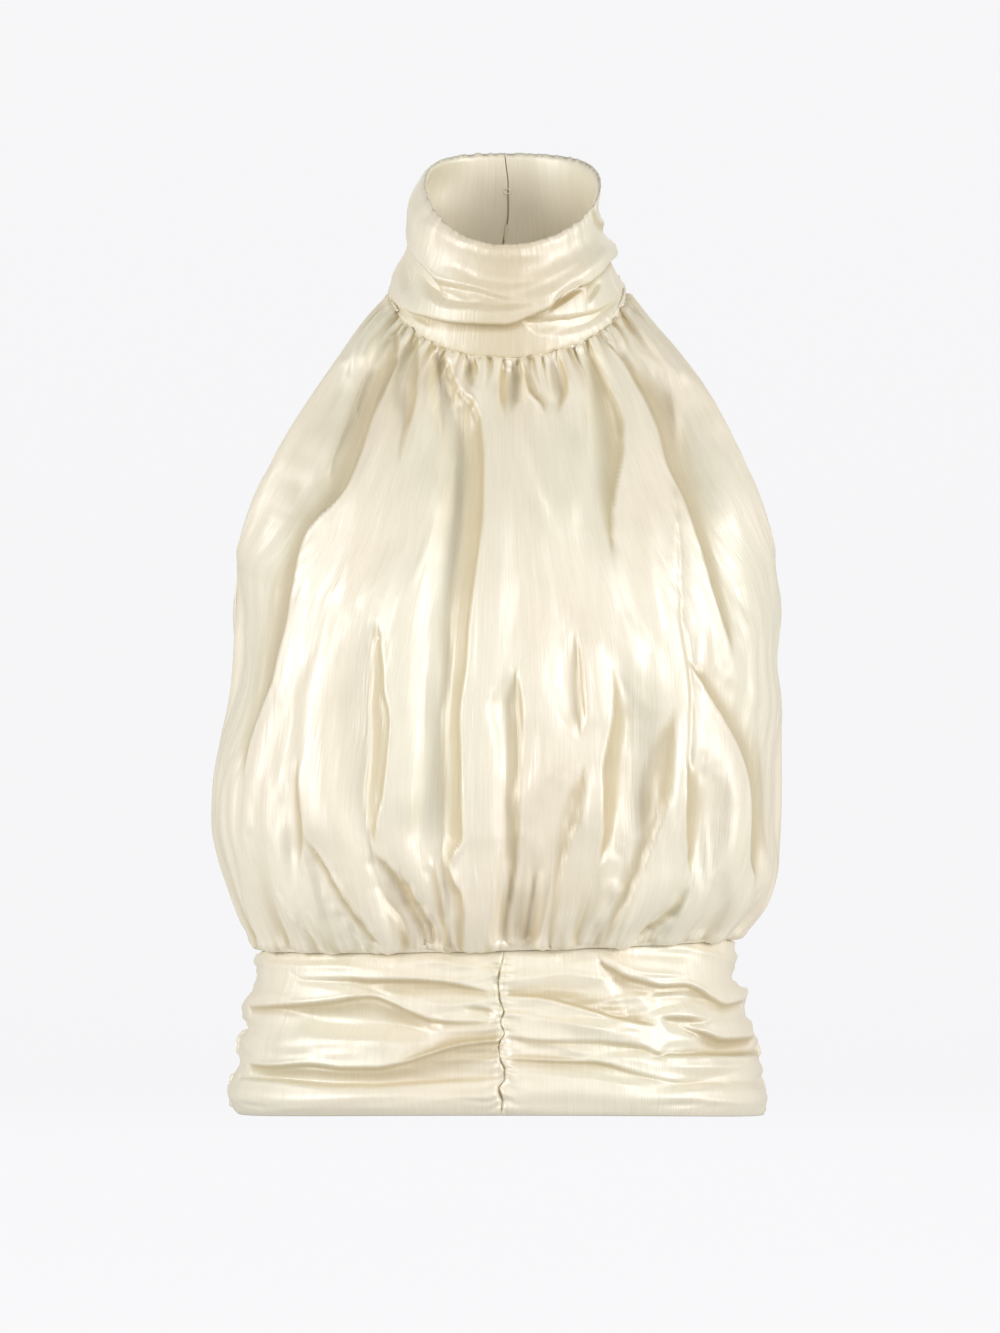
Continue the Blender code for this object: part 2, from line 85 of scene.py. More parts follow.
# The sizes of rings and edges below are those of the solids that the cloth stands for, but the gap
# at the collar's closure is narrower here, because its ends lap
NECK_LEFT_X = -62.2
NECK_RIGHT_X = 68.9
NECK_FRONT_Y = -56.0
NECK_BACK_Y = 52.0
NECK_FRONT_Z = -41.4
NECK_BACK_Z = 16.0
NECK_EASE = 0.25
BACK_NECK_TURN = 104.0
COLLAR_LEFT_X = -42.6
COLLAR_RIGHT_X = 54.3
COLLAR_FRONT_Y = -68.0
COLLAR_BACK_Y = 42.0
COLLAR_FRONT_Z = 20.2
COLLAR_SIDE_Z = 60.5
COLLAR_BACK_Z = 83.0
COLLAR_OPENING = 1.0
COLLAR_LAP = 4.0
COLLAR_LAP_STAND = 3.7
WAIST_LEFT_X = -135.0
WAIST_RIGHT_X = 127.7
WAIST_FRONT_Y = -99.0
WAIST_BACK_Y = 84.0
WAIST_SIDE_Z = -364.75
WAIST_TILT = 3.25
WAIST_SAG = -1.85
NECK_CORNER = 0.03
COLLAR_CORNER = 0.025
WAIST_CORNER = 0.06
BODY_ROWS = 20
UNDERARM_ROW = 8
NECK_BLEND_ROW = 5
WAIST_BLEND_ROW = 13
SLIT_REACH = 0.5
SLIT_END_ROW = 7

Edge = namedtuple("Edge", "row left_x right_x y z")
Middle = namedtuple("Middle", "row y z wrap")
Slit = namedtuple("Slit", "row half_width")
Ring = namedtuple("Ring", "share left_x right_x front_y back_y front_z side_z back_z")
Fold = namedtuple("Fold", "path rise before after sharp")
Drape = namedtuple("Drape", "flank steep path")
Roll = namedtuple("Roll", "turn lip_z reach under")
Wander = namedtuple("Wander", "z centre left right")
Link = namedtuple("Link", "rows columns firm least")
Panel = namedtuple("Panel", "base large small flanked down up from_side neck_place waist_place neck_turn")

FRONT_ARMHOLE = (
    Edge(0, -62.2, 68.9, -2.0, 0.0),
    Edge(1, -77.6, 82.6, -13.0, -16.0),
    Edge(2, -90.6, 99.0, -23.0, -35.5),
    Edge(3, -104.6, 113.7, -32.0, -56.0),
    Edge(4, -118.0, 125.2, -38.0, -77.0),
    Edge(5, -130.5, 136.0, -41.0, -100.0),
    Edge(6, -140.6, 144.6, -39.0, -122.0),
    Edge(7, -146.0, 149.8, -27.0, -142.0),
    Edge(8, -148.0, 151.2, -5.0, -152.0),
)
BACK_ARMHOLE = (
    Edge(0, -60.3, 66.9, 11.1, 3.4),
    Edge(1, -62.0, 68.0, 27.0, -9.0),
    Edge(2, -67.0, 72.5, 42.0, -26.0),
    Edge(3, -75.0, 80.0, 53.0, -46.0),
    Edge(4, -86.0, 91.0, 60.0, -68.0),
    Edge(5, -100.0, 104.0, 61.0, -92.0),
    Edge(6, -118.0, 122.0, 52.0, -117.0),
    Edge(7, -137.0, 141.0, 29.0, -140.0),
    Edge(8, -148.0, 151.2, -5.0, -152.0),
)
SIDE_SEAM = (
    Edge(8, -148.0, 151.2, -5.0, -152.0),
    Edge(9, -149.5, 153.0, -3.5, -175.0),
    Edge(10, -150.6, 152.4, -2.5, -200.0),
    Edge(11, -152.6, 154.8, -2.0, -225.0),
    Edge(12, -157.0, 155.4, -2.0, -250.0),
    Edge(13, -161.0, 155.7, -2.5, -275.0),
    Edge(14, -161.8, 155.1, -3.0, -297.0),
    Edge(15, -158.2, 153.4, -4.0, -316.0),
    Edge(16, -152.6, 151.5, -5.0, -331.0),
    Edge(17, -147.8, 147.0, -6.0, -343.5),
    Edge(18, -142.8, 139.0, -6.8, -353.5),
    Edge(19, -138.6, 131.5, -7.3, -360.5),
    Edge(20, -135.0, 127.7, -7.5, -364.75),
)
CENTRE_FRONT = (
    Middle(0, -56.0, -41.4, 90.0),
    Middle(2, -70.0, -68.0, 76.0),
    Middle(4, -90.0, -102.0, 64.0),
    Middle(6, -111.0, -142.0, 68.0),
    Middle(8, -124.0, -183.0, 84.0),
    Middle(10, -129.0, -223.0, 90.0),
    Middle(12, -129.0, -262.0, 90.0),
    Middle(14, -126.0, -298.0, 90.0),
    Middle(16, -120.5, -328.0, 90.0),
    Middle(18, -112.0, -352.0, 90.0),
    Middle(19, -106.5, -361.0, 90.0),
    Middle(20, -99.0, -366.6, 90.0),
)
CENTRE_BACK = (
    Middle(0, 52.0, 16.0, 76.0),
    Middle(2, 62.0, -14.0, 66.0),
    Middle(4, 78.0, -52.0, 60.0),
    Middle(6, 91.0, -98.0, 68.0),
    Middle(8, 96.0, -146.0, 84.0),
    Middle(10, 93.0, -192.0, 90.0),
    Middle(12, 89.0, -240.0, 90.0),
    Middle(14, 90.0, -286.0, 90.0),
    Middle(16, 95.0, -322.0, 90.0),
    Middle(18, 95.0, -350.0, 90.0),
    Middle(19, 91.0, -360.0, 90.0),
    Middle(20, 84.0, -366.6, 90.0),
)
BACK_SLIT = (
    Slit(0, 0.8),
    Slit(1, 4.0),
    Slit(2, 8.0),
    Slit(3, 11.0),
    Slit(4, 12.0),
    Slit(5, 10.0),
    Slit(6, 5.0),
    Slit(6.8, 0.0),
    Slit(20, 0.0),
)
BAND_RINGS = (
    Ring(0.0, -135.0, 127.7, -99.0, 84.0, -366.6, -364.75, -366.6),
    Ring(0.25, -141.0, 131.5, -103.0, 88.0, -388.0, -388.0, -389.5),
    Ring(0.5, -146.0, 138.5, -106.0, 94.0, -410.0, -412.0, -413.0),
    Ring(0.8, -152.0, 144.5, -108.5, 100.0, -437.0, -441.0, -441.0),
    Ring(1.0, -149.0, 146.5, -108.0, 103.0, -455.5, -459.5, -459.5),
)

# Drapes of the front: each has a crisp crest along its path, a flank that falls from it to the left
# (flank -1) or to the right (1) over the width given with each point, and a soft shoulder beyond.
# steep is the fall for each millimetre of that width.
FRONT_DRAPES = (
    # left sweep from the neck to the side
    Drape(-1, 0.62, ((-57, -24, 3), (-58, -36, 9), (-60, -43, 15), (-64, -54, 18), (-72, -74, 18),
          (-77, -91, 20), (-83, -107, 22), (-92, -119, 21), (-100, -126, 18), (-108, -136, 14),
          (-112, -148, 13), (-115, -163, 15), (-118, -182, 17), (-122, -200, 17), (-126, -219, 15),
          (-132, -233, 11), (-140, -252, 6), (-146, -277, 0))),
    # narrow hollow beside it
    Drape(-1, 0.85, ((-45, -24, 2), (-46, -41, 7), (-47, -57, 8), (-50, -69, 5), (-53, -79, 3),
          (-56, -91, 2), (-58, -100, 0))),
    # long trough left of the centre, from the neck to the waist
    Drape(-1, 0.85, ((-32, -28, 3), (-31, -35, 5), (-28, -46, 7), (-23, -55, 8), (-16, -63, 9),
          (-12, -74, 11), (-11, -84, 12), (-10.5, -98, 12.5), (-10.5, -115, 13), (-11, -128, 13.5),
          (-15, -154, 13), (-19, -187, 13), (-21, -221, 12), (-23, -245, 13), (-23, -268, 13),
          (-22.5, -289, 12), (-21.5, -305, 11), (-28, -315, 7), (-31, -321, 4), (-29, -327, 5),
          (-23, -337, 7), (-21, -348, 6), (-21, -367, 4))),
    # hollow right of the chest's middle
    Drape(-1, 0.5, ((48, -30, 1), (53, -41, 5), (58, -54, 8), (64, -65, 11), (67, -77, 12),
          (67, -90, 11), (65, -102, 9), (63, -113, 7), (62, -124, 5), (62, -138, 3), (62, -156, 0))),
    # first sweep on the right, under its long crisp line
    Drape(1, 0.62, ((56, -28, 2), (66, -41, 8), (73, -54, 16), (79, -66, 18), (84, -78, 18),
          (90, -98, 18), (97, -112, 16), (104, -130, 14), (110, -148, 13), (117, -172, 10),
          (123, -190, 5), (128, -206, 0))),
    Drape(1, 1.0, ((90, -96, 0), (93, -112, 1.6), (96, -136, 2.2), (97.5, -160, 2), (98.5, -186, 2),
          (101, -210, 2.4), (101.5, -235, 2.2), (101, -258, 1.5), (100, -272, 0))),
    # second sweep on the right, and the hollow at the side below it
    Drape(1, 0.6, ((103, -204, 0), (106, -214, 6), (112, -226, 11), (121, -240, 13), (130, -256, 13),
          (134, -272, 13), (134.5, -291, 13), (135, -307, 11), (136, -318, 7), (140, -330, 2),
          (142, -336, 0))),
    # troughs of the blouse
    Drape(-1, 0.8, ((-70, -182, 0), (-67.5, -198, 6), (-64.5, -221, 10), (-61, -245, 13),
          (-62.5, -262, 12.5), (-65, -278, 11), (-68, -292, 7.5), (-69.5, -303, 4), (-71, -310, 1.6),
          (-69.5, -314, 2), (-64, -320, 4), (-57, -329, 5), (-51, -343, 5), (-43, -362, 4),
          (-41, -368, 3))),
    Drape(-1, 1.0, ((8, -207, 0), (9.6, -221, 4.6), (10.3, -233, 7.5), (9.8, -250, 7.5), (9, -268, 6.5),
          (8, -290, 6), (8, -307, 5.5), (8, -318, 5), (6, -335, 4.5), (4, -346, 4.5),
          (2.5, -366, 3.5))),
    Drape(-1, 1.1, ((40.5, -187, 0), (43, -200, 3.5), (44.5, -219, 5.5), (44.5, -233, 5.5),
          (43, -245, 2.5), (42, -252, 0))),
    Drape(-1, 0.85, ((45, -264, 0), (43, -279, 6), (41, -293, 8), (36, -307, 6), (33, -318, 4.6),
          (31, -335, 3.6), (30, -346, 3.2), (28.6, -366, 2.6))),
    Drape(1, 0.75, ((62, -207, 0), (59.5, -228, 6), (58, -241, 12), (55, -256, 13), (53.5, -269, 12.5),
          (53, -291, 12), (53.5, -302, 9), (52.4, -314, 4), (50.5, -321, 1.6), (45, -338, 2),
          (40, -358, 3), (38, -366, 2))),
    Drape(-1, 0.75, ((98, -230, 0), (95, -241, 3), (94.5, -257, 8), (93, -274, 10.5), (90.5, -285, 10),
          (86.7, -298, 7.5), (83.4, -307, 6), (79, -318, 6), (74.6, -328, 6), (69.6, -340, 5),
          (64.6, -349, 4), (61, -357, 3), (57, -366, 2))),
    Drape(1, 1.0, ((102, -252, 0), (101, -261, 2), (99, -277, 8), (98.5, -291, 10), (100, -302, 8.5),
          (102, -316, 5), (104, -325, 2), (104, -334, 0))),
    Drape(-1, 0.9, ((106, -326, 0), (101, -341, 3), (93, -351, 4), (83, -358, 4), (74, -363, 2))),
    Drape(-1, 0.8, ((-111, -256, 0), (-110.5, -275, 4), (-110, -295, 5), (-111, -310, 4),
          (-113, -322, 1), (-114, -330, 0))),
    # narrow drapes that fan into the waist seam
    Drape(-1, 0.75, ((-112, -300, 0), (-104, -312, 3), (-97, -322, 4.5), (-83, -342, 5),
          (-69, -364, 3.5))),
    Drape(-1, 0.9, ((-57, -322, 0), (-54, -330, 3), (-47, -345, 4), (-40, -358, 4), (-37, -367, 3))),
    Drape(-1, 1.0, ((-38, -318, 0), (-37, -326, 3), (-34, -342, 4), (-31.5, -356, 3.5),
          (-30.5, -367, 3))),
    Drape(1, 0.8, ((0, -306, 0), (-1.5, -316, 1.3), (-4, -334, 1.7), (-6, -350, 1.7),
          (-7.7, -366, 1.5))),
    Drape(-1, 0.8, ((19, -322, 0), (18, -334, 2), (16, -348, 2.6), (14.5, -366, 2))),
    # hollows under the middle of the neckline
    Drape(-1, 0.8, ((-16, -34, 2), (-16.5, -43, 3), (-15.5, -50, 2), (-15, -56, 0))),
    Drape(1, 1.0, ((-2, -38, 2), (-1, -47, 5), (-1, -57, 5), (-1.5, -64, 3), (1, -74, 0))),
    Drape(1, 0.6, ((10.5, -38, 2), (11.5, -47, 4), (13, -54, 5), (17, -60, 5), (21, -65, 3),
          (23, -71, 0))),
    Drape(-1, 0.6, ((31, -35, 2), (34.5, -42, 4), (36, -50.5, 5), (35.6, -58, 4), (32.6, -66, 2),
          (31, -73, 0))),
)

# Smaller folds of the front. rise is positive for a ridge and negative for a trough; before and
# after are its widths to the left and right; sharp is 2 for a soft one, 1 for a crease.
FRONT_FOLDS = (
    # crests along the outer edges of the two sweeps
    Fold(((-73, -28), (-76, -36), (-83, -52), (-90, -71), (-100, -94)), 2.8, 5, 2.4, 1.2),
    Fold(((74, -22), (82, -30), (91, -45), (96, -59), (99, -74)), 2.4, 3, 7, 1.3),
    Fold(((-86, -38), (-100, -62), (-118, -96), (-128, -126)), -2.5, 9, 8, 2),
    Fold(((-67, -75), (-79, -101), (-80, -121), (-85, -146), (-87, -164)), 1.4, 6, 9, 1.5),
    Fold(((-57, -96), (-66, -126), (-70, -150)), -1.6, 8, 9, 2),
    Fold(((79, -36), (93, -53), (107, -72), (121, -96), (130, -121), (134, -140), (137, -165)),
          1.6, 7, 9, 1.6),
    Fold(((46, -78), (41, -100), (40, -124), (37, -132)), 1.8, 10, 7, 2),
    # narrow gathers that run further down from the neck
    Fold(((-70, -24), (-76, -40), (-84, -60)), 1.5, 2.6, 1.6, 1.4),
    Fold(((-40, -30), (-41, -44), (-43, -62)), 1.8, 1.5, 2.8, 1.4),
    Fold(((-36, -32), (-35, -46), (-34, -78)), -1.4, 1.6, 2.2, 1.5),
    Fold(((-8, -38), (-8, -50), (-7, -66)), 1.6, 2.4, 1.4, 1.4),
    Fold(((5, -38), (5, -50), (4, -70)), -1.2, 1.6, 2.4, 1.5),
    Fold(((16, -38), (17, -46), (21, -58)), 1.6, 1.4, 2.2, 1.4),
    Fold(((25, -36), (25, -46), (27, -60)), 1.8, 1.6, 2.4, 1.4),
    Fold(((41, -33), (43, -44), (46, -62), (47, -80)), 1.6, 2.6, 1.6, 1.4),
    Fold(((50, -28), (53, -38), (58, -50)), -1.4, 2.4, 1.5, 1.5),
    Fold(((62, -24), (68, -34), (76, -48), (84, -66)), 1.7, 2.0, 2.8, 1.4),
    Fold(((70, -18), (78, -28), (90, -44)), -1.4, 1.6, 2.4, 1.5),
    # soft swells and dimples of the chest
    Fold(((14, -78), (18, -98), (28, -126)), 1.6, 4, 8, 1.8),
    Fold(((36, -80), (37, -104), (36, -132)), 1.5, 7, 4, 1.8),
    Fold(((-36, -66), (-37, -96), (-41, -126)), 1.6, 5, 9, 1.8),
    Fold(((-26, -86), (-26, -120), (-29, -160)), -1.2, 4, 5, 1.8),
    Fold(((54, -142), (56, -164), (60, -186)), 1.5, 5, 8, 1.8),
    Fold(((80, -126), (82, -150), (86, -182)), 1.8, 7, 5, 1.8),
    Fold(((30, -145), (37, -165), (47, -184)), -2.4, 14, 15, 2),
    Fold(((10, -164), (9, -180), (11, -199)), -1.8, 4, 4, 1.8),
    Fold(((17, -160), (19, -184)), -1.2, 3, 3, 1.8),
    Fold(((-39, -100), (-36, -130), (-40, -170), (-42, -200)), 1.8, 12, 5, 1.6),
    # swells of the blouse
    Fold(((-98, -215), (-98, -250), (-94, -290), (-90, -310)), 3.0, 24, 18, 2),
    Fold(((-44, -236), (-45, -262), (-50, -290)), 2.2, 8, 7, 1.6),
    Fold(((22, -225), (24, -262), (22, -300)), 2.0, 10, 9, 1.8),
    Fold(((120, -274), (122, -300), (124, -325)), 3.0, 7, 8, 1.7),
    Fold(((144, -257), (146, -286), (146, -315), (146, -330)), 2.0, 4, 4, 1.8),
    Fold(((112, -262), (113, -290), (113, -325)), 1.4, 2, 2.4, 1.4),
    # lines that run into the waist seam
    Fold(((-123, -336), (-114, -350), (-103, -360), (-97, -366)), 1.8, 4, 2.2, 1.25),
    Fold(((-98, -338), (-89, -351), (-80, -362), (-70, -368)), 1.8, 4, 2.2, 1.25),
    Fold(((-73, -310), (-70, -326), (-65, -340), (-57, -353), (-52, -365)), -1.8, 2.2, 2.6, 1.5),
    Fold(((-40, -325), (-38, -337), (-34, -353), (-31, -366)), 1.8, 1.8, 3, 1.3),
    Fold(((-1, -310), (-4.5, -329), (-6, -346), (-7.5, -367)), 2.0, 4, 1.8, 1.25),
    Fold(((-14, -330), (-14, -350), (-13, -367)), -1.4, 3, 3, 1.8),
    Fold(((18, -318), (16, -340), (15, -366)), -1.8, 4, 4, 1.8),
    Fold(((82, -322), (76, -340), (66, -360)), 1.6, 4, 6, 1.6),
    Fold(((-130, -322), (-120, -345), (-112, -366)), 1.4, 2.6, 1.8, 1.3),
    Fold(((-109, -344), (-100, -356), (-93, -367)), 1.3, 2.4, 1.6, 1.3),
    Fold(((-46, -308), (-38, -330), (-33, -366)), 1.4, 1.6, 2.6, 1.3),
    Fold(((-18, -318), (-13, -340), (-9, -367)), 1.4, 1.6, 2.4, 1.3),
    Fold(((12, -312), (12, -340), (10, -367)), 1.4, 2.4, 1.6, 1.3),
    Fold(((24, -322), (21, -345), (20, -367)), 1.3, 2.4, 1.6, 1.3),
    Fold(((70, -326), (58, -348), (48, -366)), 1.4, 2.2, 1.6, 1.3),
    Fold(((116, -330), (106, -350), (92, -366)), 1.5, 2.4, 1.8, 1.3),
    Fold(((132, -322), (124, -345), (114, -364)), 1.4, 1.8, 2.6, 1.3),
)

# Drapes and folds of the back, plainer and softer than the front's, through (x, z)
BACK_DRAPES = (
    Drape(-1, 0.6, ((-52, -70, 0), (-56, -110, 7), (-66, -170, 12), (-74, -230, 14), (-72, -290, 12),
          (-62, -340, 8), (-58, -366, 5))),
    Drape(1, 0.6, ((-104, -175, 0), (-110, -220, 8), (-112, -270, 11), (-104, -320, 9),
          (-92, -364, 5))),
    Drape(-1, 0.8, ((-30, -200, 0), (-34, -240, 6), (-36, -290, 9), (-30, -340, 7), (-27, -366, 5))),
    Drape(1, 0.8, ((-90, -262, 0), (-90, -290, 4), (-84, -330, 6), (-76, -366, 4))),
    Drape(1, 0.6, ((54, -66, 0), (60, -110, 7), (70, -170, 12), (79, -235, 14), (76, -295, 12),
          (64, -345, 8), (60, -366, 5))),
    Drape(-1, 0.6, ((110, -180, 0), (114, -225, 8), (113, -280, 11), (104, -325, 9), (96, -364, 5))),
    Drape(1, 0.8, ((32, -190, 0), (34, -235, 6), (31, -290, 9), (32, -340, 7), (34, -366, 5))),
    Drape(-1, 0.8, ((92, -250, 0), (96, -290, 4), (90, -330, 6), (80, -366, 4))),
    Drape(-1, 0.9, ((12, -255, 0), (11, -290, 5), (10, -340, 6), (11, -366, 4))),
)
BACK_FOLDS = (
    Fold(((-134, -250), (-130, -310), (-112, -362)), -3.4, 7, 6, 1.8),
    Fold(((138, -245), (133, -305), (116, -362)), -3.4, 6, 7, 1.8),
    Fold(((-14, -280), (-12, -366)), 2.0, 4, 5, 1.5),
    Fold(((-52, -240), (-50, -300), (-44, -360)), 2.2, 8, 8, 1.8),
    Fold(((52, -235), (50, -300), (48, -360)), 2.2, 8, 8, 1.8),
    Fold(((-124, -300), (-118, -330), (-104, -364)), 1.8, 4, 6, 1.5),
    Fold(((126, -296), (120, -330), (106, -364)), 1.8, 6, 4, 1.5),
)

# Collar's roll: how low its lip hangs, how far out it stands and how far it tucks up behind the lip
COLLAR_ROLL = (
    Roll(-180, 30, 1.4, 0.0),
    Roll(-120, 16, 1.4, 0.0),
    Roll(-75, -8, 1.6, 0.0),
    Roll(-60, -13, 2.4, 0.6),
    Roll(-45, -17, 4.6, 2.6),
    Roll(-25, -22, 6.4, 4.4),
    Roll(0, -23, 7.2, 5.0),
    Roll(20, -14, 7.6, 5.2),
    Roll(48, 4, 8.2, 5.4),
    Roll(64, 13, 7.6, 5.2),
    Roll(90, 20, 7.2, 4.6),
    Roll(120, 27, 6.5, 4.0),
    Roll(150, 33, 3.5, 2.0),
    Roll(165, 36, 1.6, 0.3),
    Roll(180, 38, 1.4, 0.0),
)
# Drapes of the collar, through (z, turn in degrees, width of the flank); flank -1 lies below
COLLAR_DRAPES = (
    Drape(-1, 1.0, ((40, -106, 0), (36, -95, 3), (27, -80, 4), (18, -66, 4.5), (8.5, -50, 4.5),
          (2.5, -41, 4), (-0.5, -30, 3.4), (-3.5, -16, 2.8), (-8, -2, 2), (-11, 9, 0))),
    Drape(-1, 0.9, ((14, -60, 0), (8, -52, 2), (1, -42, 2.6), (-4.5, -36, 2.6), (-9, -22, 2),
          (-11, -10, 0))),
    Drape(-1, 1.0, ((-21, 9, 0), (-20, 16, 3), (-18, 31, 4), (-14, 47, 4), (-8, 62, 3), (-3, 74, 1),
          (0, 80, 0))),
    Drape(1, 0.9, ((-17, 20, 0), (-13, 27, 3), (-9, 33, 3.4), (-5, 39, 2), (-2, 44, 0))),
    Drape(1, 0.9, ((-12, 42, 0), (-7, 48, 3), (-2, 54, 3), (3, 60, 0))),
    Drape(-1, 0.8, ((46, 52, 0), (42, 66, 3), (38, 84, 4), (38, 104, 4), (42, 126, 0))),
    Drape(-1, 0.7, ((-2, -84, 0), (-7, -72, 2.6), (-13, -60, 3), (-20, -46, 2), (-25, -36, 0))),
)
# Smaller folds of the collar, round through (turn in degrees, z); before is above the fold
COLLAR_FOLDS = (
    Fold(((-120, 42), (-95, 26), (-80, 14), (-66, 2)), -2.4, 4, 5, 1.8),
    Fold(((-170, 46), (-140, 40), (-110, 30), (-95, 20)), 1.8, 7, 5, 1.6),
    Fold(((-60, 34), (-35, 24), (-10, 17), (20, 14)), 1.4, 5, 6, 1.8),
    Fold(((20, 2), (40, 10), (62, 24)), 1.6, 5, 6, 1.8),
    Fold(((-26, -7), (-6, -13), (14, -12)), -1.4, 3, 3, 1.8),
    Fold(((-34, 10), (-12, 2), (10, 0)), -1.2, 4, 4, 2),
)

# Drapes of the band's front, through (z, x, width of the flank); flank -1 lies below the crest
BAND_FRONT_DRAPES = (
    # left of the centre-front seam
    Drape(-1, 0.7, ((-381, -120, 0), (-384, -112, 1.5), (-384, -102, 2), (-384, -88, 3),
          (-385, -72, 5.5), (-385, -56, 7), (-386, -35, 5.5), (-389, -19, 4), (-392, -3, 2.5),
          (-392, 0, 0))),
    Drape(-1, 0.46, ((-400, -142, 3), (-399, -119, 5), (-397, -98, 7), (-394, -74, 9), (-397.5, -63, 9),
          (-403, -51, 7), (-407, -40, 4), (-408.5, -24, 3), (-408, -3, 2), (-408, 0, 0))),
    Drape(-1, 0.35, ((-432, -142, 3), (-433, -130, 6), (-432, -109, 7), (-434, -88, 7), (-434, -72, 8),
          (-431, -56, 9), (-426, -40, 11), (-421.5, -24, 12), (-419.5, -8, 10), (-419, -2, 6),
          (-419, 0, 0))),
    Drape(1, 0.7, ((-432, -62, 0), (-431, -56, 2), (-426, -40, 4), (-421.5, -24, 6), (-419.5, -8, 5),
          (-419, -2, 3), (-419, 0, 0))),
    Drape(1, 1.01, ((-441, -148, 1.5), (-442, -130, 2.5), (-444, -113, 3), (-445.5, -93, 3),
          (-445.5, -72, 3), (-444.5, -56, 3), (-443, -35, 3), (-442, -14, 2.5), (-441, -3, 2),
          (-441, 0, 0))),
    Drape(-1, 0.78, ((-401, -24, 0), (-400, -16, 2.5), (-401, -9, 3), (-403, -3, 1), (-403, 0, 0))),
    # right of the centre-front seam
    Drape(-1, 0.62, ((-370, 52, 0), (-374, 54.5, 3), (-378.5, 61, 5), (-383, 69, 7), (-386, 80, 7),
          (-388, 90, 6), (-387.5, 101, 5), (-390, 109, 5.5), (-395, 117, 5), (-398.5, 125, 4),
          (-396.5, 134, 3))),
    Drape(1, 0.46, ((-394.7, 1, 0), (-394.7, 3, 3), (-395.3, 17, 6), (-397, 27, 8), (-400, 38, 9),
          (-402.7, 48, 9), (-406, 59, 9), (-408.5, 69, 7), (-410.6, 80, 4), (-411, 87, 0))),
    Drape(-1, 0.93, ((-406, 87, 0), (-405.5, 94, 3.5), (-406, 104, 4), (-407, 112, 2), (-407, 119, 0))),
    Drape(1, 1.01, ((-428.5, 83, 0), (-428.3, 94, 3), (-428, 108, 3.5), (-427.5, 122, 4),
          (-427.8, 134, 4), (-427.8, 144, 3))),
    Drape(-1, 0.85, ((-416.5, 1, 0), (-416.5, 4, 2), (-418.5, 17, 3), (-419, 27, 3), (-419, 38, 2.5),
          (-419, 48, 2.5), (-420, 64, 3), (-422, 78, 3), (-426, 88, 2.5), (-427, 93, 0))),
    Drape(-1, 0.46, ((-429, 1, 0), (-429, 5, 3), (-430, 27, 4), (-430.6, 50, 5), (-432, 59, 4),
          (-435, 69, 3), (-438, 80, 2.5), (-441.5, 101, 2), (-441.6, 122, 2), (-442.7, 144, 1.5))),
    Drape(1, 0.93, ((-429, 1, 0), (-429, 5, 2), (-429.6, 18, 2.6), (-430, 30, 2.6), (-430.4, 42, 1.5),
          (-430.6, 52, 0))),
    Drape(-1, 0.62, ((-409, 96, 0), (-412, 106, 3), (-415, 114, 5), (-418, 124, 6), (-417, 140, 4))),
)
# Folds of the band's front, sideways through (x, z); before is above the fold
BAND_FRONT_FOLDS = (
    Fold(((-110, -407), (-96, -409), (-80, -411), (-66, -410), (-50, -411), (-36, -412)),
          -3.4, 7, 7, 2),
    Fold(((-62, -421), (-80, -419), (-108, -420), (-128, -422)), 2.4, 7, 7, 2),
    Fold(((-46, -372), (-30, -376), (-14, -379), (-2, -380)), 1.6, 2.6, 3.4, 1.5),
    Fold(((-70, -390), (-50, -396), (-30, -399), (-8, -397)), 1.8, 4, 3, 1.6),
    Fold(((-52, -408), (-36, -414), (-18, -414), (-2, -412)), 1.7, 2.6, 2.6, 1.5),
    Fold(((-34, -431), (-20, -430), (-2, -430)), 1.5, 2.4, 2.4, 1.5),
    Fold(((-140, -376), (-110, -378), (-84, -378)), 1.4, 3, 3, 1.6),
    Fold(((-150, -450), (-120, -452), (-80, -452), (-40, -451), (-4, -450)), 3.2, 7, 7, 2),
    Fold(((56, -371), (66, -378), (80, -382), (98, -383)), 1.4, 2, 2, 1.3),
    Fold(((60, -366), (85, -368), (104, -371)), -2.2, 5, 5, 2),
    Fold(((100, -366), (114, -371), (127, -375)), 2.2, 3, 3, 1.3),
    Fold(((6, -417.4), (17, -420.6), (27, -421.6), (36, -423.7), (41, -425.8)), 1.2, 1.6, 1.6, 1.4),
    Fold(((70, -395), (84, -398)), 2.0, 5, 5, 1.7),
    Fold(((2, -386), (18, -384), (36, -382), (52, -384)), 1.7, 3, 4, 1.6),
    Fold(((2, -404), (18, -406), (38, -410), (58, -414)), 1.6, 2.6, 3, 1.5),
    Fold(((2, -437), (20, -438), (44, -440), (70, -444)), 1.6, 3, 3, 1.6),
    Fold(((98, -434), (118, -434), (140, -434)), 1.5, 2.6, 3, 1.5),
    Fold(((36, -410), (54, -413), (75, -416)), 2.4, 5, 5, 2),
    Fold(((3, -448), (40, -448), (80, -451), (120, -452), (145, -451)), 3.0, 8, 7, 2),
)
BAND_BACK_DRAPES = (
    Drape(-1, 0.62, ((-380, -128, 0), (-383, -90, 4), (-384, -40, 5), (-385, 10, 4), (-382, 60, 5),
          (-381, 122, 0))),
    Drape(1, 0.54, ((-400, -140, 2), (-397, -84, 6), (-404, -30, 7), (-409, 20, 5), (-403, 76, 7),
          (-405, 136, 2))),
    Drape(-1, 0.54, ((-424, -144, 2), (-428, -70, 6), (-422, -16, 7), (-426, 50, 6), (-423, 140, 2))),
    Drape(1, 0.93, ((-441, -148, 1.5), (-444, -80, 3), (-442, -10, 3), (-444, 60, 3),
          (-442, 142, 1.5))),
)
BAND_BACK_FOLDS = (
    Fold(((-120, -412), (-60, -413), (20, -418), (90, -414)), -3.0, 5, 6, 2),
    Fold(((-148, -451), (-40, -450), (50, -452), (144, -450)), 3.0, 8, 7, 2),
)

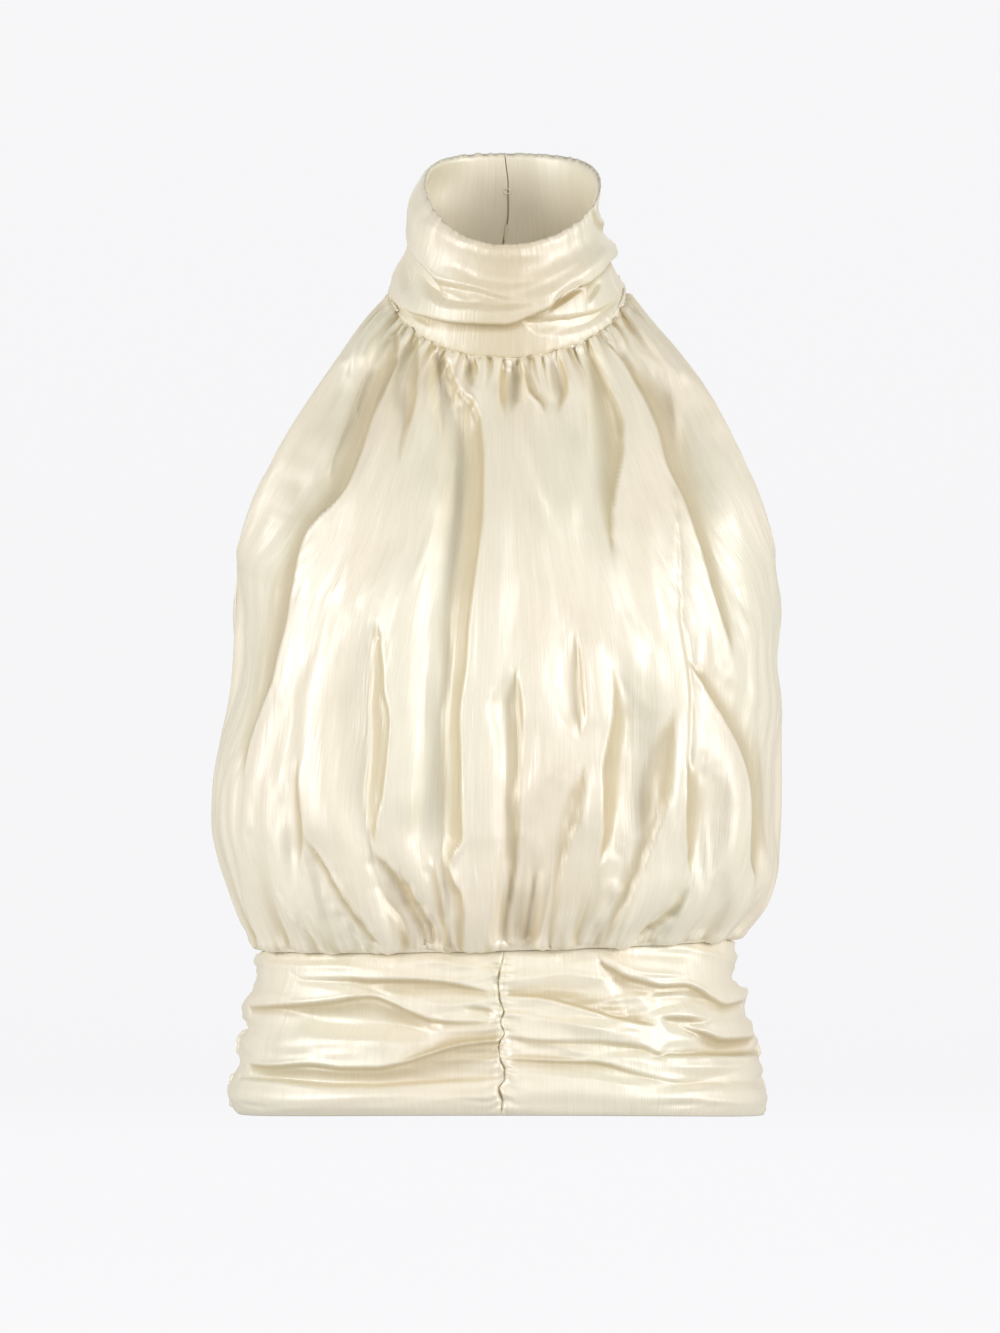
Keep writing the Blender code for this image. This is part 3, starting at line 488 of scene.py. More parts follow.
# How the ruched seams of the band wander: sideways at the centre front, outward at the two sides
SEAM_WANDER = (
    Wander(-460, -1.4, 0.6, 0.6),
    Wander(-447, -0.6, 1.4, -0.4),
    Wander(-440.5, -2.4, -0.6, -1.8),
    Wander(-435, 1.0, -2.8, -0.4),
    Wander(-430, 0.6, -4.2, -1.4),
    Wander(-424, -1.8, -1.4, 0.6),
    Wander(-417, -2.4, -0.4, 0.4),
    Wander(-411, 0.6, -4.2, -1.8),
    Wander(-405, -1.4, 0.4, -3.4),
    Wander(-399.5, 0.4, 1.9, -1.6),
    Wander(-392, -2.0, -1.0, 1.8),
    Wander(-384.5, -2.6, -1.8, -3.6),
    Wander(-375, -1.4, -0.6, -1.2),
    Wander(-366, 0.6, 0.0, 0.0),
)


def curve_through(knots, values, at):
    """Smooth curve through values at rising knots, read at the places in at. It never overshoots."""
    knots = np.asarray(knots, float)
    values = np.asarray(values, float)
    steps = np.diff(knots)
    slopes = np.diff(values) / steps
    tangents = np.zeros_like(values)
    before, after = slopes[:-1], slopes[1:]
    same_way = before * after > 0
    total = np.where(same_way, before + after, 1.0)
    tangents[1:-1] = np.where(same_way, 2 * before * after / total, 0.0)
    tangents[0] = slopes[0]
    tangents[-1] = slopes[-1]
    at = np.clip(at, knots[0], knots[-1])
    span = np.clip(np.searchsorted(knots, at, side="right") - 1, 0, len(steps) - 1)
    width = steps[span]
    t = (at - knots[span]) / width
    return ((2 * t**3 - 3 * t**2 + 1) * values[span]
            + (t**3 - 2 * t**2 + t) * width * tangents[span]
            + (3 * t**2 - 2 * t**3) * values[span + 1]
            + (t**3 - t**2) * width * tangents[span + 1])


def column(table, knot, name, at):
    """One named column of a table, read smoothly at places along its knot column."""
    return curve_through([getattr(row, knot) for row in table], [getattr(row, name) for row in table], at)


def smooth_step(value, low, high):
    """0 below low, 1 above high, and a soft step between them."""
    t = np.clip((value - low) / (high - low), 0.0, 1.0)
    return t * t * (3 - 2 * t)


def bell(value, middle, width):
    """1 at the middle, falling softly to nothing over about twice the width."""
    return np.exp(-((value - middle) / width)**2)


def arc(turn, corner):
    """How far sideways and how far ahead a ring of unit size is at an angle from its front."""
    fullness = 1 + corner * np.sin(2 * turn)**2
    return fullness * np.sin(turn), fullness * np.cos(turn)


def ring(turn, corner, left_x, right_x, front_y, back_y):
    """A ring round the body: the unit ring's share sideways and ahead, then its own x and y."""
    side, ahead = arc(turn, corner)
    x = np.where(side < 0, -left_x, right_x) * side
    y = (front_y + back_y) / 2 + (front_y - back_y) / 2 * ahead
    return side, ahead, x, y


def neck_seam(turn):
    """The neck seam at turn radians from the front, positive to the right."""
    _, ahead, x, y = ring(turn, NECK_CORNER, NECK_LEFT_X, NECK_RIGHT_X, NECK_FRONT_Y, NECK_BACK_Y)
    slope = (NECK_FRONT_Z - NECK_BACK_Z) / 2
    dip = (NECK_FRONT_Z + NECK_BACK_Z) / 2 / math.sqrt(1 + NECK_EASE**2)
    z = slope * ahead + dip * np.abs(ahead) * np.sqrt(ahead**2 + NECK_EASE**2)
    return np.stack([x, y, z], -1)


def collar_top(turn):
    """The collar's top edge at turn radians from the front."""
    _, ahead, x, y = ring(turn, COLLAR_CORNER, COLLAR_LEFT_X, COLLAR_RIGHT_X,
                          COLLAR_FRONT_Y, COLLAR_BACK_Y)
    slope = (COLLAR_FRONT_Z - COLLAR_BACK_Z) / 2
    dip = (COLLAR_FRONT_Z + COLLAR_BACK_Z) / 2 - COLLAR_SIDE_Z
    z = COLLAR_SIDE_Z + slope * ahead + dip * ahead**2
    return np.stack([x, y, z], -1)


def waist_seam(turn):
    """The waist seam at turn radians from the front."""
    side, ahead, x, y = ring(turn, WAIST_CORNER, WAIST_LEFT_X, WAIST_RIGHT_X, WAIST_FRONT_Y, WAIST_BACK_Y)
    z = WAIST_SIDE_Z + WAIST_TILT * side + WAIST_SAG * ahead**2
    return np.stack([x, y, z], -1)


def edge_at(armhole, row):
    """x at the left and right edges of a body panel, with their y and z, at each row."""
    names = ("left_x", "right_x", "y", "z")
    above = [column(armhole, "row", name, row) for name in names]
    below = [column(SIDE_SEAM, "row", name, row) for name in names]
    return [np.where(row < UNDERARM_ROW, a, b) for a, b in zip(above, below)]


def body_surface(across, row, armhole, centre):
    """Body panel without folds: across runs from -1 at the left edge through 0 to 1 at the right."""
    left_x, right_x, edge_y, edge_z = edge_at(armhole, row)
    wrap = np.radians(column(centre, "row", "wrap", row))
    turn = across * wrap
    side, ahead = arc(turn, WAIST_CORNER)
    full_side, full_ahead = arc(wrap, WAIST_CORNER)
    sideways = side / full_side
    forward = (ahead - full_ahead) / (1 - full_ahead)
    x = np.where(across < 0, -left_x, right_x) * sideways
    y = edge_y + (column(centre, "row", "y", row) - edge_y) * forward
    z = edge_z + (column(centre, "row", "z", row) - edge_z) * forward
    return np.stack([x, y, z], -1)


def onto_seams(across, row, armhole, centre, neck_turn, waist_turn):
    """Body panel whose first and last rows are moved onto the neck seam and the waist seam."""
    points = body_surface(across, row, armhole, centre)
    top = body_surface(across, np.zeros_like(row), armhole, centre)
    bottom = body_surface(across, np.full_like(row, BODY_ROWS), armhole, centre)
    near_top = (1 - smooth_step(row, 0, NECK_BLEND_ROW))[..., None]
    near_bottom = smooth_step(row, WAIST_BLEND_ROW, BODY_ROWS)[..., None]
    return (points + near_top * (neck_seam(neck_turn) - top)
            + near_bottom * (waist_seam(waist_turn) - bottom))


def unit(vectors):
    """The same directions with a length of 1."""
    return vectors / np.maximum(np.linalg.norm(vectors, axis=-1, keepdims=True), TINY)


def grid_normals(points):
    """Unit normals of a grid of points, to the left of its rows seen along its columns."""
    return unit(np.cross(np.gradient(points, axis=0), np.gradient(points, axis=1)))


def raised(points, height):
    """A grid's points moved out along its normals."""
    return points + grid_normals(points) * height[..., None]


def as_seen(points):
    """x and z of points where the camera's lines of sight to them cross the plane of the origin."""
    away = (CAMERA_DISTANCE + points[..., 1]) / CAMERA_DISTANCE
    return points[..., 0] / away, CAMERA_Z + (points[..., 2] - CAMERA_Z) / away


def fold_height(folds, along, across, tip):
    """Sum of the folds at each point. along is the coordinate that the folds run in.

    A fold fades out and grows narrower within tip of each end.
    """
    height = np.zeros_like(along)
    for fold in folds:
        path = sorted(fold.path)
        runs = np.array([run for run, _ in path], float)
        offset = across - curve_through(runs, [cross for _, cross in path], along)
        reach = min(tip, (runs[-1] - runs[0]) * 0.45)
        ends = smooth_step(along, runs[0] - reach, runs[0] + reach)
        ends = ends * (1 - smooth_step(along, runs[-1] - reach, runs[-1] + reach))
        width = np.where(offset < 0, fold.before, fold.after)
        width = width * (FOLD_TIP_WIDTH + (1 - FOLD_TIP_WIDTH) * ends)
        height += fold.rise * ends * np.exp(-(np.abs(offset) / width)**fold.sharp)
    return height


def drape_height(drapes, along, across):
    """Sum of the drapes at each point, and the painted shade on their flanks, from 0 to 1.

    along is the coordinate that the drapes run in. Each place in a path is the one across, the one
    along and the width of the flank.
    """
    height = np.zeros_like(along)
    flanked = np.zeros_like(along)
    for drape in drapes:
        path = sorted((run, cross, width) for cross, run, width in drape.path)
        runs, crosses, widths = (np.array(values, float) for values in zip(*path))
        into = drape.flank * (across - curve_through(runs, crosses, along))
        width = curve_through(runs, widths, along) * smooth_step(along, runs[0] - 1, runs[0] + 1)
        width *= 1 - smooth_step(along, runs[-1] - 1, runs[-1] + 1)
        # the flank falls from the crest, and the cloth comes back up softly beyond its foot
        fall = drape.steep * width
        rounded = np.sqrt(into**2 + CREST_ROUND**2)
        inside = (rounded + into) / 2
        outside = (rounded - into) / 2
        share = np.clip(inside / np.maximum(width, 0.3), 0, 1)
        flank = fall * (CREST_SHARE - 1 + (1 - share)**FLANK_ROUND)
        beyond = np.maximum(inside - width, 0)
        flank *= np.where(share < 1, 1, 1 - smooth_step(beyond, 0, SHOULDER_SHARE * width + 1))
        # outside it eases down from the crest, whose line is drawn by a bead and a nick
        outer = fall * CREST_SHARE * (np.exp(-(outside / (1.6 * width + 2))**1.2) - 1)
        bead = BEAD_RISE * bell(into, BEAD_PLACE, CREST_LINE) * smooth_step(width, 0.5, 6)
        nick = -NICK_DEPTH * bell(into, NICK_PLACE, CREST_LINE) * smooth_step(width, 0.5, 4)
        height += flank + outer + bead + nick
        # the painted shade is deepest just inside the crest, and is gone a little beyond the flank
        tint = smooth_step(into, -0.9, 1.2)
        tint *= 1 - smooth_step(into, 0.55 * width, 1.6 * width + 0.5)
        tint *= 0.7 + 0.3 * np.exp(-(np.maximum(into, 0) / 2.2)**1.5)
        flanked = np.maximum(flanked, tint * smooth_step(width, 0.3, 4.5))
    return height, flanked


def turned(folds):
    """Folds that run down the body: their paths, written as (x, z), turned into (along, across)."""
    return [fold._replace(path=tuple((z, x) for x, z in fold.path)) for fold in folds]


def upright(folds):
    """Folds that run sideways: before is above the fold in their tables, where z is larger."""
    return [fold._replace(before=fold.after, after=fold.before) for fold in folds]


def run_length(points, axis):
    """Distance along a grid's rows or columns from its first one."""
    steps = np.linalg.norm(np.diff(points, axis=axis), axis=-1)
    total = np.cumsum(steps, axis=axis)
    return np.concatenate([np.zeros_like(np.take(total, [0], axis)), total], axis)


def distances(points):
    """How far each point is from the first row, the last row, the first column and either side."""
    down, sideways = run_length(points, 0), run_length(points, 1)
    return down, down[-1] - down, sideways, np.minimum(sideways, sideways[:, -1:] - sideways)


def gathers(place, away, seed, spacing, rise, width, reach):
    """Small gathers at uneven places along a seam, each with a height and a length of its own.

    away is the distance from the seam, and reach is about how far down from it a gather runs.
    """
    random = np.random.default_rng(seed)
    height = np.zeros_like(away)
    at = float(place.min()) + spacing * random.uniform(0.2, 0.8)
    while at < float(place.max()):
        own_rise = rise * random.uniform(0.35, 1.35)
        own_width = width * random.uniform(0.7, 1.4)
        own_reach = reach * random.uniform(0.35, 1.8)
        lean = random.uniform(-0.12, 0.12)
        offset = place - at - lean * away
        steep_side = random.choice((-1, 1))
        spread = own_width * (1 + away / (2.5 * reach)) * np.where(offset * steep_side > 0, 0.7, 1.7)
        height += own_rise * np.exp(-np.abs(offset / spread)**1.7) * np.exp(-(away / own_reach)**1.4)
        at += spacing * random.uniform(0.55, 1.5)
    return height - rise * 0.35 * np.exp(-away / reach)


def creases(place, run, seed, count, rise, width, length):
    """Faint creases scattered over a piece, long in run and narrow in place."""
    random = np.random.default_rng(seed)
    height = np.zeros_like(run)
    for _ in range(count):
        at = random.uniform(place.min(), place.max())
        middle = random.uniform(run.min(), run.max())
        own_length = length * random.uniform(0.5, 1.5)
        own_width = width * random.uniform(0.6, 1.6)
        lean = random.uniform(-0.15, 0.15)
        offset = (place - at - lean * (run - middle)) / own_width
        height += rise * random.uniform(-1, 1) * np.exp(-offset**2 - ((run - middle) / own_length)**2)
    return height


def quads(at, flip=False):
    """Four-sided faces between the neighbours of a grid of vertex numbers."""
    corners = [at[:-1, :-1], at[1:, :-1], at[1:, 1:], at[:-1, 1:]]
    if flip:
        corners.reverse()
    return np.stack([corner.ravel() for corner in corners], -1).tolist()


def rim(at):
    """The vertex numbers round the edge of a grid, once round."""
    return np.concatenate([at[:, 0], at[-1, 1:], at[-2::-1, -1], at[0, -2:0:-1]])


def new_object(name, data):
    """An object in the scene for a mesh, a light or a camera."""
    thing = bpy.data.objects.new(name, data)
    bpy.context.scene.collection.objects.link(thing)
    return thing


def add_piece(name, mesh, material):
    """The visible object of a mesh, which rides on the garment in the satin's slot."""
    mesh.materials.append(material)
    piece = new_object(name, mesh)
    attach(piece, "root")
    return piece


def add_cloth(name, outer, material, place, run, painted_shade):
    """One sheet of cloth: a thin closed wall whose inner face has half of the outer face's rows.

    place and run are the cloth's own coordinates, in millimetres across and along its warp. The last
    argument is the painted shade of the folds at each point, from 0 on the crests to 1.
    """
    inner = (outer - CLOTH_WALL * grid_normals(outer))[::2, ::2]
    vertices = np.concatenate([outer.reshape(-1, 3), inner.reshape(-1, 3)]) * MM
    outer_count = outer.shape[0] * outer.shape[1]
    out_at = np.arange(outer_count).reshape(outer.shape[:2])
    in_at = np.arange(outer_count, len(vertices)).reshape(inner.shape[:2])
    faces = quads(out_at) + quads(in_at, flip=True)
    out_rim, in_rim = rim(out_at), rim(in_at)
    for step, here in enumerate(in_rim):
        there = in_rim[(step + 1) % len(in_rim)]
        first, middle, last = (out_rim[(2 * step + k) % len(out_rim)] for k in range(3))
        faces.append([int(last), int(middle), int(first), int(here), int(there)])
    mesh = bpy.data.meshes.new(name + "_cloth")
    mesh.from_pydata(vertices.tolist(), [], faces)
    mesh.polygons.foreach_set("use_smooth", np.arange(len(faces)) < len(faces) - len(in_rim))
    flat = np.stack([place, run], -1) * MM
    flat = np.concatenate([flat.reshape(-1, 2), flat[::2, ::2].reshape(-1, 2)])
    corner_vertex = np.empty(len(mesh.loops), int)
    mesh.loops.foreach_get("vertex_index", corner_vertex)
    layer = mesh.uv_layers.new(name="cloth")
    layer.uv.foreach_set("vector", flat[corner_vertex].astype(np.float32).ravel())
    # painted shade of the folds, kept on the points for the satin's colour
    shade = np.clip(np.concatenate([painted_shade.ravel(), painted_shade[::2, ::2].ravel()]), 0, 1)
    mesh.attributes.new("painted_shade", "FLOAT", "POINT").data.foreach_set("value", shade.astype(np.float32))
    piece = add_piece(name + "_cloth", mesh, material)
    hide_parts(name)
    return piece


def slanted_length(start, across, here, beside, there):
    """How far apart two points on a slant are in the cut, which is wider than its space there."""
    wide = np.abs(across[beside] - across[here])
    level = np.linalg.norm(start[beside] - start[here], axis=-1)
    tall = np.linalg.norm(start[there] - start[beside], axis=-1)
    slant = np.linalg.norm(start[there] - start[here], axis=-1)
    skew = (slant**2 - level**2 - tall**2) / (level * tall)
    return np.sqrt(wide**2 + tall**2 + wide * tall * skew)


def cut_links(start, ease, loose):
    """Which points of a grid hold each other, at what distance in the cut, and how firmly."""
    steps = np.diff(run_length(start, 1), axis=1) * (ease[:, 1:] + ease[:, :-1]) / 2
    across = np.concatenate([np.zeros_like(steps[:, :1]), np.cumsum(steps, axis=1)], axis=1)
    down = run_length(start, 0)
    rows, columns = start.shape[:2]
    links = []
    for link in LINKS:
        for group in (0, 1):
            from_row = np.arange(rows - link.rows)
            from_column = np.arange(max(-link.columns, 0), columns - max(link.columns, 0))
            if link.rows:
                from_row = from_row[from_row // link.rows % 2 == group]
            else:
                from_column = from_column[from_column // link.columns % 2 == group]
            here = np.ix_(from_row, from_column)
            there = np.ix_(from_row + link.rows, from_column + link.columns)
            if link.rows and link.columns:
                beside = np.ix_(from_row, from_column + link.columns)
                own = slanted_length(start, across, here, beside, there)
            elif link.rows:
                own = down[there] - down[here]
            else:
                own = across[there] - across[here]
            firm = link.firm / np.maximum(loose[here] + loose[there], TINY)
            links.append((here, there, own * link.least, firm, link.least < 1))
    return links


def settle(start, ease, loose):
    """Relax a grid of cloth that is ease times as wide as its space, so that its fullness buckles.

    Linked points are moved back to their own distance in the cut, over and over, while the cloth
    puffs out a little. loose is 0 at a point that is sewn down and 1 at a free one.
    """
    links = cut_links(start, ease, loose)
    points = start.copy()
    last = start.copy()
    for _ in range(SETTLE_ROUNDS):
        drift = (points - last) * SETTLE_CARRY + SETTLE_PUFF * grid_normals(points)
        last = points.copy()
        points += drift * loose[..., None]
        for here, there, own, firm, only_push in links:
            apart = points[there] - points[here]
            length = np.linalg.norm(apart, axis=-1)
            off = length - own
            if only_push:
                off = np.minimum(off, 0)
            move = apart * (off * firm / length)[..., None]
            points[here] += move * loose[here][..., None]
            points[there] -= move * loose[there][..., None]
    return points


def resample(grid, rows, columns):
    """A grid's points read at fractional rows and columns, on smooth curves through them."""
    def read(values, at):
        """The values at fractional places along their first axis."""
        before, after = 2 * values[:1] - values[1:2], 2 * values[-1:] - values[-2:-1]
        padded = np.concatenate([before, values, after])
        first = np.clip(np.floor(at).astype(int), 0, len(values) - 2)
        t = (at - first)[:, None, None]
        a, b, c, d = (padded[first + k] for k in range(4))
        return 0.5 * (2 * b + (c - a) * t + (2 * a - 5 * b + 4 * c - d) * t**2
                      + (3 * b - a - 3 * c + d) * t**3)
    return np.swapaxes(read(np.swapaxes(read(grid, rows), 0, 1), columns), 0, 1)


def clear_of_seams(points):
    """Hold the first and last columns back from the seams by half of the gap there."""
    points = points.copy()
    for edge, inside in ((0, 1), (-1, -2)):
        points[:, edge] += SEAM_GAP * unit(points[:, inside] - points[:, edge])
    return points


def lap_under(grids, reach, at_last=False):
    """Two more columns at an edge: they fold in, then run reach behind the next piece as a turning.

    grids holds the points and then the piece's other grids, which repeat their own edge.
    """
    points = grids[0]
    edge, inside = (-1, -2) if at_last else (0, 1)
    away = unit(points[:, edge] - points[:, inside])
    near = points[:, edge] - LAP_DEPTH * grid_normals(points)[:, edge]
    added = [[near, near + reach[:, None] * away]] + [[grid[:, edge]] * 2 for grid in grids[1:]]
    if at_last:
        return [np.concatenate([grid, np.stack(more, 1)], axis=1) for grid, more in zip(grids, added)]
    return [np.concatenate([np.stack(more[::-1], 1), grid], axis=1) for grid, more in zip(grids, added)]


# Body ---------------------------------------------------------------------------------------------
FRONT_COLUMNS = 372
BACK_COLUMNS = 170
BODY_NECK_STEPS = 50
BODY_MIDDLE_STEPS = 110
BODY_WAIST_STEPS = 48
NECK_ROWS_END = 3.0
WAIST_ROWS_START = 16.0
TURNING_STEPS = 2
# How deep the hollows between gathers are where they get the full painted shade of a fold
FRONT_HOLLOW = 0.7
TUCK_HOLLOW = 0.45
BACK_HOLLOW = 1.6
NECK_PUFF = 0.6
WAIST_PUFF = 1.4
# Seeds of the two halves of the back, by side
BACK_SEEDS = {-1: 20, 1: 30}
# The front stands out and the back draws in below the left armhole, so that the seam hides behind
FRONT_UNDERARM_SWELL = 2.4
BACK_UNDERARM_SWELL = -1.9


def body_rows():
    """Rows from the neck seam to the waist seam, closer where the gathers are."""
    neck = np.linspace(0, NECK_ROWS_END, BODY_NECK_STEPS, endpoint=False)
    middle = np.linspace(NECK_ROWS_END, WAIST_ROWS_START, BODY_MIDDLE_STEPS, endpoint=False)
    waist = np.linspace(WAIST_ROWS_START, BODY_ROWS, BODY_WAIST_STEPS + 1)
    return np.concatenate([neck, middle, waist])


def body_grid(rows, first, columns):
    """The row and the place across at each point of a body panel; places run from first to 1."""
    return np.meshgrid(rows, np.linspace(first, 1, columns + 1), indexing="ij")


def rolled_edge(from_side, row):
    """How far the cloth dips at its side edges: more where an armhole is turned in than at a seam."""
    at_seam = smooth_step(row, UNDERARM_ROW - 0.5, UNDERARM_ROW + 0.5)
    return -(ARMHOLE_DIP + (SEAM_DIP - ARMHOLE_DIP) * at_seam) * bell(from_side, 0, EDGE_ROUND)


def seam_puff(down, up):
    """How far the cloth swells out beside the neck seam and over the waist seam."""
    return NECK_PUFF * bell(down, 3, 3) + WAIST_PUFF * bell(up, 5, 4)


def underarm_swell(from_side, row):
    """A soft swell of unit height just below an armhole, beside the side seam."""
    return bell(from_side, 6, 5) * smooth_step(from_side, 0, 3) * bell(row, UNDERARM_ROW + 0.8, 0.9)


def add_turning(points, neck_turn):
    """Rows before the first that run up inside the collar, as the seam's turning."""
    up = SEAM_TURNING * unit(collar_top(neck_turn[0]) - neck_seam(neck_turn[0]))
    up = up - TURNING_INSET * grid_normals(points)[0]
    rows = [points[0] + up * (TURNING_STEPS - k) / TURNING_STEPS for k in range(TURNING_STEPS)]
    return np.concatenate([np.array(rows), points])


def pad_rows(grid):
    """The same values with the first row repeated for the turning's rows."""
    return np.concatenate([np.repeat(grid[:1], TURNING_STEPS, axis=0), grid])


# Which points of a settling grid hold each other, how firmly, and the least share of their distance
# in the cut: below 1 they only push apart, which keeps the cloth from creasing too sharply
LINKS = (
    Link(0, 1, 1.0, 1.0),
    Link(1, 0, 1.0, 1.0),
    Link(1, 1, 0.25, 1.0),
    Link(1, -1, 0.25, 1.0),
    Link(0, 2, 0.9, 0.985),
    Link(0, 4, 0.4, 0.95),
    Link(2, 0, 0.6, 0.997),
    Link(5, 0, 0.5, 0.99),
)
# The settling: a coarse grid, its rounds, how much of a move carries on into the next one, how far
# the cloth puffs out each round, the share of the settled shape that the panel takes, and how close
# to an edge the cloth is sewn down
SETTLE_ROWS = 64
COARSE_ROWS = np.linspace(0, BODY_ROWS, SETTLE_ROWS + 1)
SETTLE_COLUMNS = 104
SETTLE_ROUNDS = 110
SETTLE_CARRY = 0.6
SETTLE_PUFF = 0.002
SETTLE_SHARE = 0.6
SEWN_WITHIN = 0.1
# How wide the cut is for its space, away from the seams and where the gathers are fullest
PLAIN_EASE = 1.03
SEAM_EASE = 1.12


def front_panel(row, across):
    """The front with its large folds and its larger gathers, before it settles."""
    turn = across * math.pi / 2
    base = onto_seams(across, row, FRONT_ARMHOLE, CENTRE_FRONT, turn, turn)
    seen_x, seen_z = as_seen(base)
    down, up, sideways, from_side = distances(base)
    middle = across.shape[1] // 2
    neck_place = sideways[0] - sideways[0, middle] + 0 * down
    waist_place = sideways[-1] - sideways[-1, middle] + 0 * down
    large, flanked = drape_height(FRONT_DRAPES, seen_z, seen_x)
    large += fold_height(turned(FRONT_FOLDS), seen_z, seen_x, tip=14.0)
    large *= smooth_step(down, 0, 7) * smooth_step(up, 0, 4) * smooth_step(from_side, 0, 16)
    small = gathers(neck_place, down, seed=11, spacing=6.0, rise=2.6, width=1.5, reach=22.0)
    small += gathers(waist_place, up, seed=12, spacing=8.0, rise=2.6, width=2.4, reach=26.0)
    small *= smooth_step(from_side, 0, 4) * smooth_step(down, 0, 3) * smooth_step(up, 1, 9)
    return Panel(base, large, small, flanked, down, up, from_side, neck_place, waist_place, turn)


def folded(panel):
    """A panel's points with its folds and larger gathers."""
    return raised(panel.base, panel.large + panel.small)


def settled_shift(panel, fullness, free_from, columns):
    """How far a coarse panel moves as it settles, read at the rows and columns of the fine one.

    fullness is 1 where the cut is widest, and the sides are free of it up to free_from.
    """
    start = folded(panel)
    near_edge = np.minimum(np.minimum(panel.down, panel.up), panel.from_side)
    loose = np.where(near_edge < SEWN_WITHIN, 0.0, 1.0)
    ease = PLAIN_EASE - 1 + (SEAM_EASE - PLAIN_EASE) * fullness
    settled = settle(start, 1 + ease * smooth_step(panel.from_side, free_from, 50), loose)
    return resample(SETTLE_SHARE * (settled - start), body_rows() * SETTLE_ROWS / BODY_ROWS,
                    np.linspace(0, start.shape[1] - 1, columns + 1))


def make_front(material):
    """The gathered halter front, from the collar's seam to the waist seam."""
    rough = front_panel(*body_grid(COARSE_ROWS, -1, SETTLE_COLUMNS))
    near_seam = np.maximum(np.exp(-rough.down / 22), 0.7 * np.exp(-rough.up / 60))
    shift = settled_shift(rough, near_seam, 4, FRONT_COLUMNS)
    row, across = body_grid(body_rows(), -1, FRONT_COLUMNS)
    panel = front_panel(row, across)
    down, up, from_side = panel.down, panel.up, panel.from_side
    tucks = gathers(panel.neck_place, down, seed=14, spacing=3.3, rise=1.8, width=0.85, reach=13.0)
    tucks *= smooth_step(down, 0.0, 1.2)
    waist_tucks = gathers(panel.waist_place, up, seed=15, spacing=4.6, rise=1.3, width=1.2, reach=11.0)
    tucks += waist_tucks * smooth_step(up, 0.5, 5)
    faint = creases(panel.waist_place, down, seed=13, count=110, rise=1.1, width=4.5, length=30.0)
    height = faint * smooth_step(down, 10, 40) * smooth_step(from_side, 0, 3)
    height += tucks * smooth_step(from_side, 0, 4) + seam_puff(down, up) + rolled_edge(from_side, row)
    height += FRONT_UNDERARM_SWELL * underarm_swell(from_side, row) * (across < 0)
    points = add_turning(raised(folded(panel) + shift, height), panel.neck_turn)
    # painted shade: the fold colour darkens the hollows between gathers and the drapes' flanks
    hollow_shade = np.maximum(-panel.small / FRONT_HOLLOW, -tucks / TUCK_HOLLOW)
    painted_shade = pad_rows(np.clip(np.maximum(panel.flanked, hollow_shade), 0, 1))
    run = run_length(points, 0)
    points = clear_of_seams(points)
    return add_cloth("front_body", points, material, pad_rows(panel.waist_place), run, painted_shade)


def back_panel(row, share, side):
    """One half of the back with its large folds and larger gathers, before it settles.

    share runs from 0 at the centre to 1 at the side, and side is -1 on the left and 1 on the right.
    """
    across = side * share
    neck_turn = math.pi - across * (math.pi - math.radians(BACK_NECK_TURN))
    waist_turn = math.pi - across * math.pi / 2
    base = onto_seams(across, row, BACK_ARMHOLE, CENTRE_BACK, neck_turn, waist_turn)
    slit = column(BACK_SLIT, "row", "half_width", row)
    base[..., 0] += side * slit * (1 - smooth_step(share, 0.0, SLIT_REACH))
    if side > 0:
        base, neck_turn = base[:, ::-1], neck_turn[:, ::-1]
    down, up, sideways, from_side = distances(base)
    neck_place, waist_place = sideways[:1] + 0 * down, sideways[-1:] + 0 * down
    large, flanked = drape_height(BACK_DRAPES, base[..., 2], base[..., 0])
    large += fold_height(turned(BACK_FOLDS), base[..., 2], base[..., 0], tip=16.0)
    large *= smooth_step(down, 8, 30) * smooth_step(up, 0, 7) * smooth_step(from_side, 0, 34)
    seed = BACK_SEEDS[side]
    small = gathers(neck_place, down, seed=seed + 1, spacing=5.0, rise=2.0, width=1.3, reach=14.0)
    small *= smooth_step(down, 0, 1.5)
    low = gathers(waist_place, up, seed=seed + 2, spacing=7.0, rise=2.4, width=2.2, reach=24.0)
    small = (small + low * smooth_step(up, 0.5, 6)) * smooth_step(from_side, 0, 4)
    return Panel(base, large, small, flanked, down, up, from_side, neck_place, waist_place, neck_turn)


def make_back(name, side, material):
    """One half of the plain back, with half of the keyhole slit at its centre edge."""
    rough = back_panel(*body_grid(COARSE_ROWS, 0, SETTLE_COLUMNS // 2), side)
    near_seam = 0.3 * np.exp(-rough.down / 22) + 0.8 * np.exp(-rough.up / 70)
    shift = settled_shift(rough, near_seam, 12, BACK_COLUMNS)
    row, share = body_grid(body_rows(), 0, BACK_COLUMNS)
    panel = back_panel(row, share, side)
    down, from_side = panel.down, panel.from_side
    seed = BACK_SEEDS[side] + 3
    faint = creases(panel.waist_place, down, seed=seed, count=60, rise=1.0, width=4.5, length=30.0)
    height = faint * smooth_step(down, 10, 40) * smooth_step(from_side, 0, 3)
    height += seam_puff(down, panel.up) + rolled_edge(from_side, row)
    height += BACK_UNDERARM_SWELL * underarm_swell(from_side, row) * (side < 0)
    points = add_turning(raised(folded(panel) + shift, height), panel.neck_turn)
    # painted shade in the hollows between gathers and, at half strength, on the drapes' flanks
    painted_shade = pad_rows(np.clip(np.maximum(0.5 * panel.flanked, -panel.small / BACK_HOLLOW), 0, 1))
    points = clear_of_seams(points)
    grids = [points, pad_rows(panel.waist_place), run_length(points, 0), painted_shade]
    down_rows = pad_rows(row[:, 0])
    side_reach = LAP_REACH * smooth_step(down_rows, UNDERARM_ROW, UNDERARM_ROW + 1) - TURNED_EDGE
    centre_reach = LAP_REACH * smooth_step(down_rows, SLIT_END_ROW, SLIT_END_ROW + 1) - TURNED_EDGE
    if side > 0:
        grids = lap_under(lap_under(grids, side_reach), centre_reach, at_last=True)
    else:
        grids = lap_under(grids, side_reach, at_last=True)
    return add_cloth(name, grids[0], material, *grids[1:])


